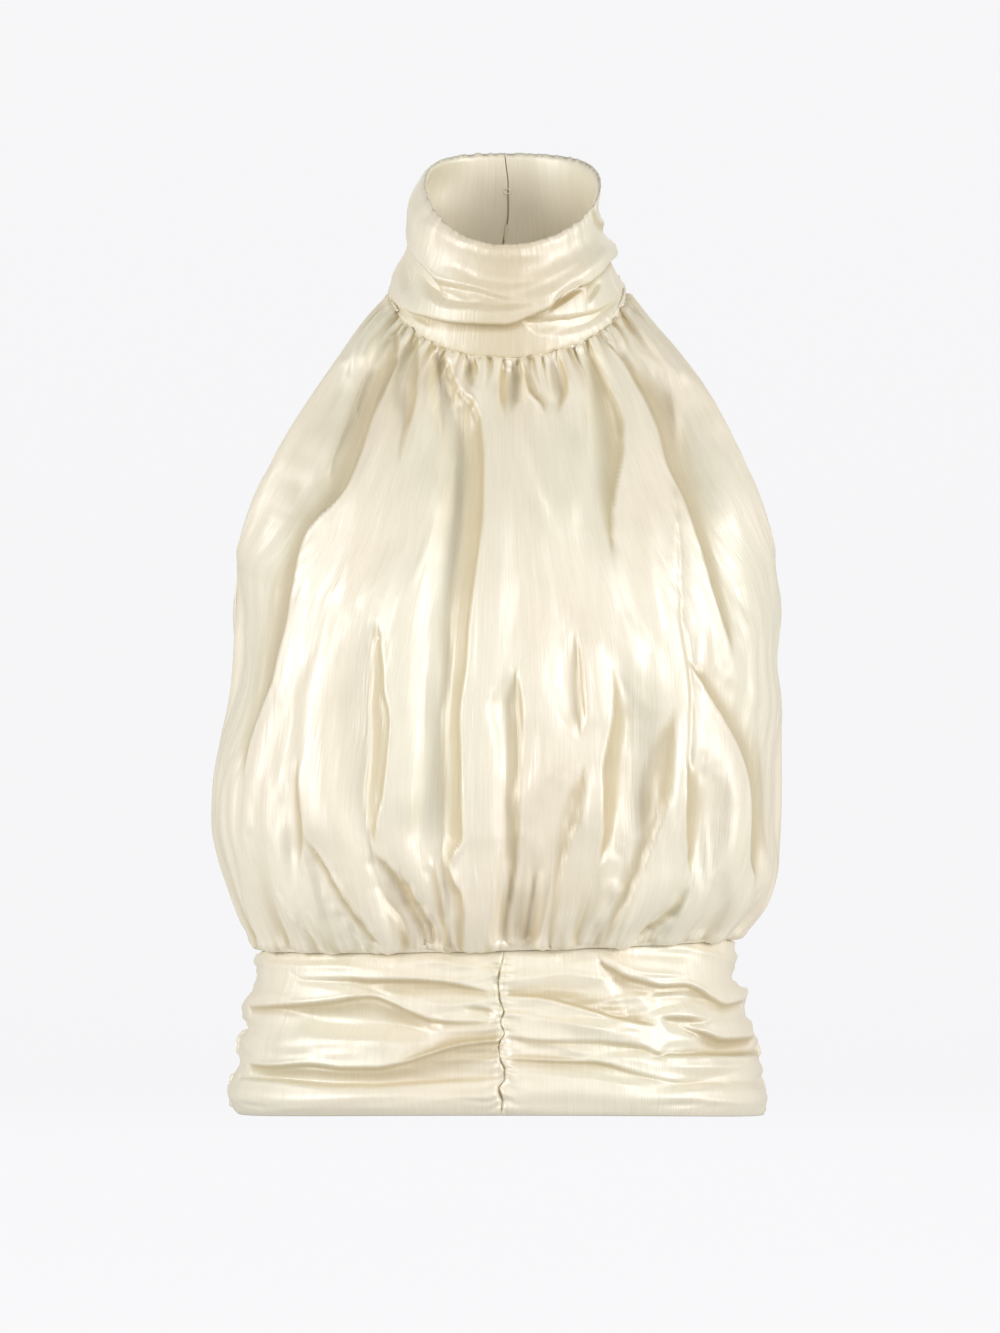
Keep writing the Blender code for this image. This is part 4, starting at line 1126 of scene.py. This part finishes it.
# Collar -------------------------------------------------------------------------------------------
COLLAR_COLUMNS = 441
COLLAR_END_COLUMNS = 16
COLLAR_OUTER_STEPS = 90
COLLAR_INNER_STEPS = 22
COLLAR_LINING_OFFSET = -1.7
# The lining stops a little below the top edge, and its rows crowd towards it
LINING_TOP_SHARE = 0.985
LINING_CROWDING = 1.3
# Painted shade round the front of the collar, over this many degrees, and a little painted shade on the
# lining
COLLAR_FRONT_SHADE = 0.52
COLLAR_FRONT_TURN = 38
LINING_SHADE = 0.05
# How the closure at the centre back wanders sideways on its way up, and how far beside it
CLOSURE_WANDER_Z = (14, 24, 32, 37, 43, 47, 52, 61, 66, 75, 84)
CLOSURE_WANDER_X = (-1.6, -1.6, -1.1, 0.1, 1.2, 1.8, 2.0, 1.8, 2.0, 0.9, 0.0)
CLOSURE_WANDER_REACH = 8.0
# The left end reaches this far, in radians, past the solid's end. The right end steps back behind
# it between the next two places, in radians before its own end, and the columns are closer together
# over the last stretch.
CLOSURE_REACH = 0.02
CLOSURE_FOLD = 0.014
CLOSURE_FOLDED = 0.003
CLOSURE_CLOSE_UP = 0.04
# How far the top of the lapped end drops behind the rim
COLLAR_LAP_SINK = 3.0
# A distance at which every gather has faded out
FAR_AWAY = 99.0

# Threads at the nape, flat on the lining: a small loop across the closure, and a stray end below it
THREAD_SIDES = 8
LOOP_STEPS = 28
LOOP_X = 2.1
LOOP_Z = 61.4
LOOP_HALF_WIDTH = 1.8
LOOP_HALF_HEIGHT = 1.5
LOOP_RADIUS = 0.45
STRAY_Z = (43.0, 41.0, 38.5, 36.0, 33.6)
STRAY_X = (2.0, 1.9, 1.6, 1.2, 1.0)
STRAY_RADIUS = 0.6


def collar_path(turn_degrees, height):
    """The collar's outer face down one section, as (share of the height, stand out) from the top."""
    lip_z, reach, under = (float(column(COLLAR_ROLL, "turn", name, turn_degrees))
                           for name in ("lip_z", "reach", "under"))
    turn = math.radians(turn_degrees)
    low, high = float(neck_seam(turn)[2]), float(collar_top(turn)[2])
    lip = (lip_z - low) / (high - low)
    mm = 1.0 / height
    return (
        # rounded top edge and the fall to the lip
        (1.0, 0.0),
        (1.0 - 3.5 * mm, 1.3),
        (1.0 - 0.28 * (1 - lip), 0.9),
        (1.0 - 0.62 * (1 - lip), 0.45 * reach + 0.5),
        (lip + 6.0 * mm, reach + 0.6),
        # the lip, and the tuck up behind it
        (lip + 1.6 * mm, reach + 0.5),
        (lip, reach - 0.9 * (under > 0.5)),
        (lip + (0.6 * under - 0.6) * mm, 0.55 * reach + 0.4),
        (lip + (under - 1.2) * mm, 0.32 * reach + 0.9),
        # the stand down to the seam
        (lip - 2.5 * mm, 1.5),
        (0.45 * lip, 1.3),
        (2.6 * mm, 1.0),
        (0.9 * mm, 0.6),
        (0.0, 0.1),
    )


def collar_swell(degrees, share):
    """How far the collar bulges out past the straight line from its seam to its top edge."""
    on_left = smooth_step(-degrees, 35, 75) * (1 - smooth_step(-degrees, 115, 165))
    on_right = smooth_step(degrees, 40, 85) * (1 - smooth_step(degrees, 110, 165))
    left = 5.0 * bell(share, 0.76, 0.18) - 3.0 * bell(share, 0.3, 0.09)
    right = -7.5 * np.clip(4 * share * (1 - share), 0, 1)**0.8
    return left * on_left + right * on_right


def collar_surface(turns, lap):
    """The collar without folds: up the lining, over the top edge and down the outside to the seam.

    lap is how far each column stands out. Each point's share of the height is given too.
    """
    seam, top = neck_seam(turns), collar_top(turns)
    rise = top - seam
    height = np.linalg.norm(rise, axis=-1)
    outward = unit(np.cross(np.gradient(seam + 0.5 * rise, axis=0), rise))
    share = np.empty((COLLAR_OUTER_STEPS + 1, len(turns)))
    stand = np.empty_like(share)
    for k, turn in enumerate(turns):
        path = np.array(collar_path(math.degrees(turn), height[k]))
        steps = np.hypot(np.diff(path[:, 0]) * height[k], np.diff(path[:, 1]))
        length = np.concatenate([[0], np.cumsum(steps)])
        at = np.linspace(0, length[-1], COLLAR_OUTER_STEPS + 1)
        share[:, k] = curve_through(length, path[:, 0], at)
        stand[:, k] = curve_through(length, path[:, 1], at)
    outer = seam + rise * share[..., None] + outward * stand[..., None]
    inner_share = np.linspace(0.0, 1.0, COLLAR_INNER_STEPS + 1)[:-1, None]
    inner_share = 1 - (1 - inner_share)**LINING_CROWDING
    lining = seam + rise * inner_share[..., None] * LINING_TOP_SHARE + outward * COLLAR_LINING_OFFSET
    shares = np.concatenate([inner_share + 0 * share[:1], share])
    shift = lap + collar_swell(np.degrees(turns), shares)
    return np.concatenate([lining, outer]) + outward * shift[..., None], shares


def make_collar(material):
    """The draped collar with its lining, and the threads that lie on it at the nape."""
    end = math.pi - math.asin(COLLAR_OPENING / 2 / COLLAR_RIGHT_X)
    lapped_end = end + COLLAR_LAP / COLLAR_RIGHT_X
    close_up = end - CLOSURE_CLOSE_UP
    turns = np.concatenate([
        np.linspace(-end - CLOSURE_REACH, close_up, COLLAR_COLUMNS - COLLAR_END_COLUMNS),
        np.linspace(close_up, lapped_end, COLLAR_END_COLUMNS + 1)[1:]])
    lap = COLLAR_LAP_STAND * smooth_step(turns, end - CLOSURE_FOLD, end - CLOSURE_FOLDED)
    points, shares = collar_surface(turns, lap)
    degrees = np.degrees(turns)[None, :] + 0 * shares
    folds, flanked = drape_height(COLLAR_DRAPES, degrees, points[..., 2])
    folds += fold_height(upright(COLLAR_FOLDS), degrees, points[..., 2], tip=10.0)
    # the tuck behind the lip gets the painted shade of a fold, a painted shadow under the lip
    below_lip = column(COLLAR_ROLL, "turn", "lip_z", degrees) - points[..., 2]
    lip_shade = smooth_step(below_lip, -1.0, 0.6) * (1 - smooth_step(below_lip, 2.0, 8.0))
    lip_shade *= smooth_step(column(COLLAR_ROLL, "turn", "under", degrees), 0.3, 3)
    on_outside = np.arange(len(points))[:, None] >= COLLAR_INNER_STEPS
    run = run_length(points, 0)
    place = run_length(points, 1)[-1:] + 0 * degrees
    from_top = np.maximum(run - run[COLLAR_INNER_STEPS], 0)
    from_seam = run[-1] - run
    free = on_outside * smooth_step(from_top, 0, 8) * smooth_step(from_seam, 3, 10)
    pucker = gathers(place, from_seam, seed=41, spacing=3.4, rise=0.7, width=0.9, reach=3.0)
    from_top_outside = from_top + FAR_AWAY * ~on_outside
    pucker += gathers(place, from_top_outside, seed=42, spacing=6.0, rise=0.8, width=1.5, reach=6.0)
    faint = creases(place, run, seed=43, count=70, rise=0.7, width=4.0, length=12.0)
    faint += creases(run, place, seed=44, count=50, rise=0.6, width=2.0, length=16.0)
    height = (folds + faint) * free + pucker * on_outside
    points = raised(points, height)
    # the closure wanders sideways, and the lapped end drops behind the rim
    near_closure = bell(points[..., 0], 0, CLOSURE_WANDER_REACH) * (np.abs(degrees) > 90)
    points[..., 0] += near_closure * curve_through(CLOSURE_WANDER_Z, CLOSURE_WANDER_X, points[..., 2])
    lapped = smooth_step(turns, end - CLOSURE_FOLDED, lapped_end)
    points[..., 2] -= COLLAR_LAP_SINK * lapped * smooth_step(shares, 0.8, 1)
    # painted shade: on the drapes' flanks, under the lip and round the front, and a little on the lining
    front_shade = COLLAR_FRONT_SHADE * bell(degrees, 0, COLLAR_FRONT_TURN)
    painted_shade = np.maximum(np.maximum(0.7 * flanked, lip_shade), front_shade)
    painted_shade = np.where(on_outside, painted_shade, LINING_SHADE)
    piece = add_cloth("collar", points, material, place, run, painted_shade)
    lining = points[:COLLAR_INNER_STEPS, turns < end - CLOSURE_FOLD].reshape(-1, 3)
    return piece, make_threads(lining[lining[:, 1] > 0], material)


def make_threads(lining, material):
    """The loop and the stray thread end, laid on the lining at the nape."""
    turn = np.linspace(0, 2 * math.pi, LOOP_STEPS, endpoint=False)
    loop_x = LOOP_X + LOOP_HALF_WIDTH * np.cos(turn)
    loop_z = LOOP_Z + LOOP_HALF_HEIGHT * np.sin(turn)
    loop = np.stack([loop_x, 0 * turn, loop_z], -1)
    stray = np.stack([STRAY_X, np.zeros(len(STRAY_X)), STRAY_Z], -1)
    for centres, radius in ((loop, LOOP_RADIUS), (stray, STRAY_RADIUS)):
        for centre in centres:
            away = np.hypot(lining[:, 0] - centre[0], lining[:, 2] - centre[2])
            centre[1] = lining[np.argmin(away), 1] - radius
    return [add_thread("nape_loop", loop, LOOP_RADIUS, True, material),
            add_thread("nape_thread", stray, STRAY_RADIUS, False, material)]


def add_thread(name, centres, radius, closed, material):
    """A short thread: a round tube along its centres, joined end to end or capped."""
    ahead = np.roll(centres, -1, axis=0) - np.roll(centres, 1, axis=0)
    if not closed:
        ahead[0] = centres[1] - centres[0]
        ahead[-1] = centres[-1] - centres[-2]
    ahead = unit(ahead)
    across = unit(np.cross(ahead, (0.0, 1.0, 0.0)))
    off = np.cross(across, ahead)
    angle = np.linspace(0, 2 * math.pi, THREAD_SIDES, endpoint=False)[None, :, None]
    rings = centres[:, None] + radius * (np.cos(angle) * across[:, None] + np.sin(angle) * off[:, None])
    at = np.arange(len(centres) * THREAD_SIDES).reshape(len(centres), THREAD_SIDES)
    next_ring = np.roll(at, -1, axis=0)
    corners = [at, next_ring, np.roll(next_ring, -1, axis=1), np.roll(at, -1, axis=1)]
    last = len(centres) if closed else len(centres) - 1
    faces = np.stack([corner[:last].ravel() for corner in corners], -1).tolist()
    if not closed:
        faces += [at[0].tolist(), at[-1, ::-1].tolist()]
    mesh = bpy.data.meshes.new(name)
    mesh.from_pydata((rings.reshape(-1, 3) * MM).tolist(), [], faces)
    mesh.shade_smooth()
    return add_piece(name, mesh, material)


# Band ---------------------------------------------------------------------------------------------
BAND_COLUMNS = 190
BAND_BACK_COLUMNS = 300
BAND_STEPS = 120
# How far from the centre front its seam's wander and its knots reach
CENTRE_WANDER_REACH = 7.0
KNOTS_REACH = 8.0
# Depths of a hollow with the full painted shade, and of the grooves beside the waist seam and the hem
BAND_HOLLOW = 2.4
WAIST_GROOVE = 0.9
HEM_GROOVE = 1.4


def band_surface(turn, share):
    """Waistband without folds; share is 0 at the waist seam and 1 at the hem."""
    left_x, right_x, front_y, back_y, front_z, side_z, back_z = (
        column(BAND_RINGS, "share", name, share) for name in Ring._fields[1:])
    side, ahead, x, y = ring(turn, WAIST_CORNER, left_x, right_x, front_y, back_y)
    level = side_z + np.where(ahead > 0, front_z - side_z, back_z - side_z) * ahead**2
    z = level + WAIST_TILT * side * (1 - share)
    # the seams at the centre front and at the two sides wander as the ruching pulls them
    centre, left, right = (column(SEAM_WANDER, "z", name, z) for name in ("centre", "left", "right"))
    from_seam = smooth_step(share, 0, 0.12)
    x += centre * bell(x, 0, CENTRE_WANDER_REACH) * (ahead > 0) * from_seam
    x += np.sign(side) * np.where(side < 0, left, right) * np.minimum(np.abs(side), 1)**14 * from_seam
    return np.stack([x, y, z], -1)


def make_band(name, first_turn, last_turn, columns, drapes, folds, seed, material, behind=False):
    """One ruched piece of the waistband, between two turns in degrees from the front."""
    turns = np.radians(np.linspace(first_turn, last_turn, columns + 1))
    share, turn = np.meshgrid(np.linspace(0, 1, BAND_STEPS + 1), turns, indexing="ij")
    base = band_surface(turn, share)
    seen_x, seen_z = (base[..., 0], base[..., 2]) if behind else as_seen(base)
    down, up, sideways, from_side = distances(base)
    from_last = sideways[:, -1:] - sideways
    place = sideways[:1] + 0 * down
    large, flanked = drape_height(drapes, seen_x, seen_z)
    large += fold_height(upright(folds), seen_x, seen_z, tip=8.0)
    large *= smooth_step(down, 0, 7) * smooth_step(up, 0, 5) * smooth_step(from_side, 0, 3)
    small = gathers(down, sideways, seed=seed, spacing=5.5, rise=2.0, width=2.1, reach=9.0)
    small += gathers(down, from_last, seed=seed + 1, spacing=5.5, rise=2.0, width=2.1, reach=9.0)
    small += gathers(place, down, seed=seed + 2, spacing=9.0, rise=0.7, width=2.2, reach=7.0)
    small *= smooth_step(from_side, 0, 2.5)
    if not behind:
        knots = gathers(down, from_side, seed=seed + 5, spacing=3.4, rise=2.6, width=1.0, reach=4.5)
        small += knots * smooth_step(from_side, 0, 1.8) * bell(seen_x, 0, KNOTS_REACH)
    faint = creases(down, sideways, seed=seed + 3, count=70, rise=1.1, width=2.4, length=22.0)
    height = large + small * smooth_step(down, 0, 4) * smooth_step(up, 0, 5)
    height += faint * smooth_step(up, 0, 8) * smooth_step(from_side, 0, 3)
    height -= WAIST_GROOVE * bell(down, 0, 1.5) + HEM_GROOVE * bell(up, 0, 1.4)
    points = clear_of_seams(raised(base, height))
    # painted shade on the drapes' flanks and in the hollows between gathers
    grids = [points, place, down, np.clip(np.maximum(flanked, -small / BAND_HOLLOW), 0, 1)]
    if first_turn == 0:
        grids = lap_under(grids, np.full(len(points), LAP_REACH))
    return add_cloth(name, grids[0], material, *grids[1:])


# Satin --------------------------------------------------------------------------------------------
# Colours of the crests and of the painted shade deep in a fold, and the two ends of the slow drift of hue
CREST_COLOUR = (0.87, 0.793, 0.628, 1.0)
FOLD_SHADE_COLOUR = (0.56, 0.445, 0.235, 1.0)
GREENER = (0.975, 1.0, 0.985, 1.0)
PINKER = (1.005, 0.99, 0.98, 1.0)
# How much the clouds weigh in the relief, against the thread lines
CLOUD_WEIGHT = 4.5


def node(tree, kind, **values):
    """A new node with its own properties or input values set by name."""
    made = tree.nodes.new(kind)
    for name, value in values.items():
        if hasattr(made, name):
            setattr(made, name, value)
        else:
            made.inputs[name.replace("_", " ")].default_value = value
    return made


def cloth_noise(tree, cloth, waves, start=(0.0, 0.0), **values):
    """Noise that lies on the cloth's own coordinates, with so many waves a metre across and along."""
    laid = node(tree, "ShaderNodeMapping", Scale=(*waves, 1.0), Location=(*start, 0.0))
    noise = node(tree, "ShaderNodeTexNoise", Scale=1.0, **values)
    tree.links.new(cloth.outputs["UV"], laid.inputs["Vector"])
    tree.links.new(laid.outputs["Vector"], noise.inputs["Vector"])
    return noise.outputs["Fac"]


def blend(tree, share, first, second):
    """A mix of two colours by a share between 0 and 1."""
    mix = node(tree, "ShaderNodeMix", data_type="RGBA")
    mix.inputs["A"].default_value = first
    mix.inputs["B"].default_value = second
    tree.links.new(share, mix.inputs["Factor"])
    return mix.outputs["Result"]


def satin():
    """Cream slubbed satin: warp streaks, a soft sheen, and painted shade as a warmer, darker colour deep
    in the folds.
    """
    material = bpy.data.materials.new("cream_satin")
    material.use_nodes = True
    tree = material.node_tree
    link = tree.links.new
    shader = tree.nodes["Principled BSDF"]
    shader.inputs["Sheen Weight"].default_value = 0.12
    shader.inputs["Sheen Roughness"].default_value = 0.45
    shader.inputs["Sheen Tint"].default_value = (1.0, 0.97, 0.88, 1.0)
    shader.inputs["IOR"].default_value = 2.3
    cloth = node(tree, "ShaderNodeUVMap", uv_map="cloth")
    streaks = cloth_noise(tree, cloth, (900.0, 26.0), Detail=3.0, Roughness=0.6)
    slubs = cloth_noise(tree, cloth, (330.0, 34.0), Detail=2.0, Roughness=0.5)
    clouds = cloth_noise(tree, cloth, (26.0, 16.0), Detail=2.0)
    drift = cloth_noise(tree, cloth, (17.0, 9.0), start=(3.1, 1.7), Detail=1.0)

    # Colour: the cream of the crests and the olive painted shade of the folds, times the streaks and a
    # slow drift
    fold_shade = node(tree, "ShaderNodeAttribute", attribute_name="painted_shade")
    tone = blend(tree, fold_shade.outputs["Fac"], CREST_COLOUR, FOLD_SHADE_COLOUR)
    fine = node(tree, "ShaderNodeMapRange", From_Min=0.3, From_Max=0.7, To_Min=0.96, To_Max=1.035)
    link(streaks, fine.inputs["Value"])
    streaked = node(tree, "ShaderNodeVectorMath", operation="SCALE")
    link(tone, streaked.inputs[0])
    link(fine.outputs["Result"], streaked.inputs["Scale"])
    drift_share = node(tree, "ShaderNodeMapRange", From_Min=0.35, From_Max=0.65)
    link(drift, drift_share.inputs["Value"])
    tinted = node(tree, "ShaderNodeVectorMath", operation="MULTIPLY")
    link(streaked.outputs["Vector"], tinted.inputs[0])
    link(blend(tree, drift_share.outputs["Result"], GREENER, PINKER), tinted.inputs[1])
    link(tinted.outputs["Vector"], shader.inputs["Base Color"])

    gloss = node(tree, "ShaderNodeMapRange", From_Min=0.3, From_Max=0.7, To_Min=0.36, To_Max=0.52)
    link(slubs, gloss.inputs["Value"])
    link(gloss.outputs["Result"], shader.inputs["Roughness"])

    # Relief: the thread lines, and clouds that make the light wander
    lines = node(tree, "ShaderNodeMath", operation="ADD")
    link(streaks, lines.inputs[0])
    link(slubs, lines.inputs[1])
    relief = node(tree, "ShaderNodeMath", operation="MULTIPLY_ADD")
    relief.inputs[1].default_value = CLOUD_WEIGHT
    link(clouds, relief.inputs[0])
    link(lines.outputs["Value"], relief.inputs[2])
    bump = node(tree, "ShaderNodeBump", Strength=0.6, Distance=0.0004)
    link(relief.outputs["Value"], bump.inputs["Height"])
    link(bump.outputs["Normal"], shader.inputs["Normal"])
    return material


# Studio -------------------------------------------------------------------------------------------
FLOOR_Z = -620.0
FLOOR_RADII = (1200.0, 2600.0, 3700.0)
COVE_BEND = 1500.0
COVE_BEND_STEPS = 12
COVE_HEIGHT = 4200.0
COVE_SIDES = 96
LIGHT_AIM_Z = -250.0
WORLD_STRENGTH = 0.27
PAPER_COLOUR = (0.985, 0.985, 1.0, 1.0)
PAPER_BOUNCE = 0.12
PAPER_BRIGHTNESS = 0.88
PAPER_BACK_LIGHT = 0.42


def studio_paper():
    """Stage paper that looks plain and pale, and throws little light back onto the cloth."""
    material = bpy.data.materials.new("studio_paper")
    material.use_nodes = True
    tree = material.node_tree
    shader = tree.nodes["Principled BSDF"]
    shader.inputs["Base Color"].default_value = (*[PAPER_BOUNCE] * 3, 1.0)
    shader.inputs["Roughness"].default_value = 0.95
    shader.inputs["Specular IOR Level"].default_value = 0.0
    shader.inputs["Emission Color"].default_value = PAPER_COLOUR
    rays = node(tree, "ShaderNodeLightPath")
    glow = node(tree, "ShaderNodeMapRange", To_Min=PAPER_BACK_LIGHT, To_Max=PAPER_BRIGHTNESS)
    tree.links.new(rays.outputs["Is Camera Ray"], glow.inputs["Value"])
    tree.links.new(glow.outputs["Result"], shader.inputs["Emission Strength"])
    return material


def make_cove():
    """Plain pale floor that rises into a round wall, so every view has the same ground."""
    profile = [(radius, 0.0) for radius in FLOOR_RADII]
    for k in range(1, COVE_BEND_STEPS + 1):
        turn = math.radians(90 * k / COVE_BEND_STEPS)
        profile.append((FLOOR_RADII[-1] + COVE_BEND * math.sin(turn), COVE_BEND * (1 - math.cos(turn))))
    profile.append((FLOOR_RADII[-1] + COVE_BEND, COVE_HEIGHT))
    angles = [2 * math.pi * k / COVE_SIDES for k in range(COVE_SIDES)]
    vertices = [(radius * math.cos(angle) * MM, radius * math.sin(angle) * MM, (FLOOR_Z + z) * MM)
                for radius, z in profile for angle in angles]
    vertices.append((0.0, 0.0, FLOOR_Z * MM))
    at = np.arange(len(vertices) - 1).reshape(len(profile), COVE_SIDES)
    faces = quads(np.concatenate([at, at[:, :1]], axis=1))
    faces += [[len(vertices) - 1, k, (k + 1) % COVE_SIDES] for k in range(COVE_SIDES)]
    mesh = bpy.data.meshes.new("studio_cove")
    mesh.from_pydata(vertices, [], faces)
    mesh.materials.append(studio_paper())
    mesh.shade_smooth()
    new_object("studio_cove", mesh)


def aim(thing, target):
    """Point an object's -Z axis at a place in millimetres."""
    from_here = (np.array(target) * MM) - np.array(thing.location)
    length = np.linalg.norm(from_here)
    pitch = math.acos(-from_here[2] / length)
    yaw = math.atan2(from_here[1], from_here[0]) - math.pi / 2
    thing.rotation_euler = (pitch, 0.0, yaw)


def softbox(name, azimuth, elevation, distance, width, height, power):
    """Area light round the top: azimuth 0 is in front and 90 to the right."""
    light = bpy.data.lights.new(name, "AREA")
    light.shape = "RECTANGLE"
    light.size = width * MM
    light.size_y = height * MM
    light.energy = power
    lamp = new_object(name, light)
    azimuth, elevation = math.radians(azimuth), math.radians(elevation)
    lamp.location = (math.sin(azimuth) * math.cos(elevation) * distance * MM,
                     -math.cos(azimuth) * math.cos(elevation) * distance * MM,
                     (math.sin(elevation) * distance + LIGHT_AIM_Z) * MM)
    aim(lamp, (0.0, 0.0, LIGHT_AIM_Z))


def make_lights():
    """Two large softboxes at the sides, a weak one in front, one behind, and a pale world."""
    softbox("side_right", azimuth=56, elevation=10, distance=2300, width=900, height=1400, power=29.5)
    softbox("side_left", azimuth=-58, elevation=10, distance=2300, width=900, height=1400, power=29)
    softbox("front_top", azimuth=6, elevation=12, distance=2600, width=700, height=1300, power=6)
    softbox("back_fill", azimuth=180, elevation=30, distance=3000, width=2200, height=1500, power=12)
    world = bpy.data.worlds.new("studio")
    world.use_nodes = True
    background = world.node_tree.nodes["Background"]
    background.inputs["Color"].default_value = (1.0, 1.0, 1.0, 1.0)
    background.inputs["Strength"].default_value = WORLD_STRENGTH
    bpy.context.scene.world = world


def make_camera():
    """The photo's camera: in front, pitched up a little, with the picture's height in view."""
    lens = bpy.data.cameras.new("camera")
    lens.sensor_fit = "VERTICAL"
    lens.angle = 2 * math.atan(PICTURE_HEIGHT / 2 / math.hypot(CAMERA_DISTANCE, AIM_Z - CAMERA_Z))
    lens.clip_end = CLIP_END
    camera = new_object("camera", lens)
    camera.location = (CAMERA_X * MM, -CAMERA_DISTANCE * MM, CAMERA_Z * MM)
    aim(camera, (CAMERA_X, 0.0, AIM_Z))
    bpy.context.scene.camera = camera


make_camera()
make_lights()
make_cove()
bpy.context.scene.view_settings.view_transform = "Standard"

satin_material = satin()
collar, threads = make_collar(satin_material)
front = make_front(satin_material)
back_left = make_back("back_left", -1, satin_material)
back_right = make_back("back_right", 1, satin_material)
band_left = make_band("band_front_left", -90, 0, BAND_COLUMNS, BAND_FRONT_DRAPES, BAND_FRONT_FOLDS,
                      50, satin_material)
band_right = make_band("band_front_right", 0, 90, BAND_COLUMNS, BAND_FRONT_DRAPES, BAND_FRONT_FOLDS,
                       60, satin_material)
band_back = make_band("band_back", 90, 270, BAND_BACK_COLUMNS, BAND_BACK_DRAPES, BAND_BACK_FOLDS,
                      70, satin_material, behind=True)
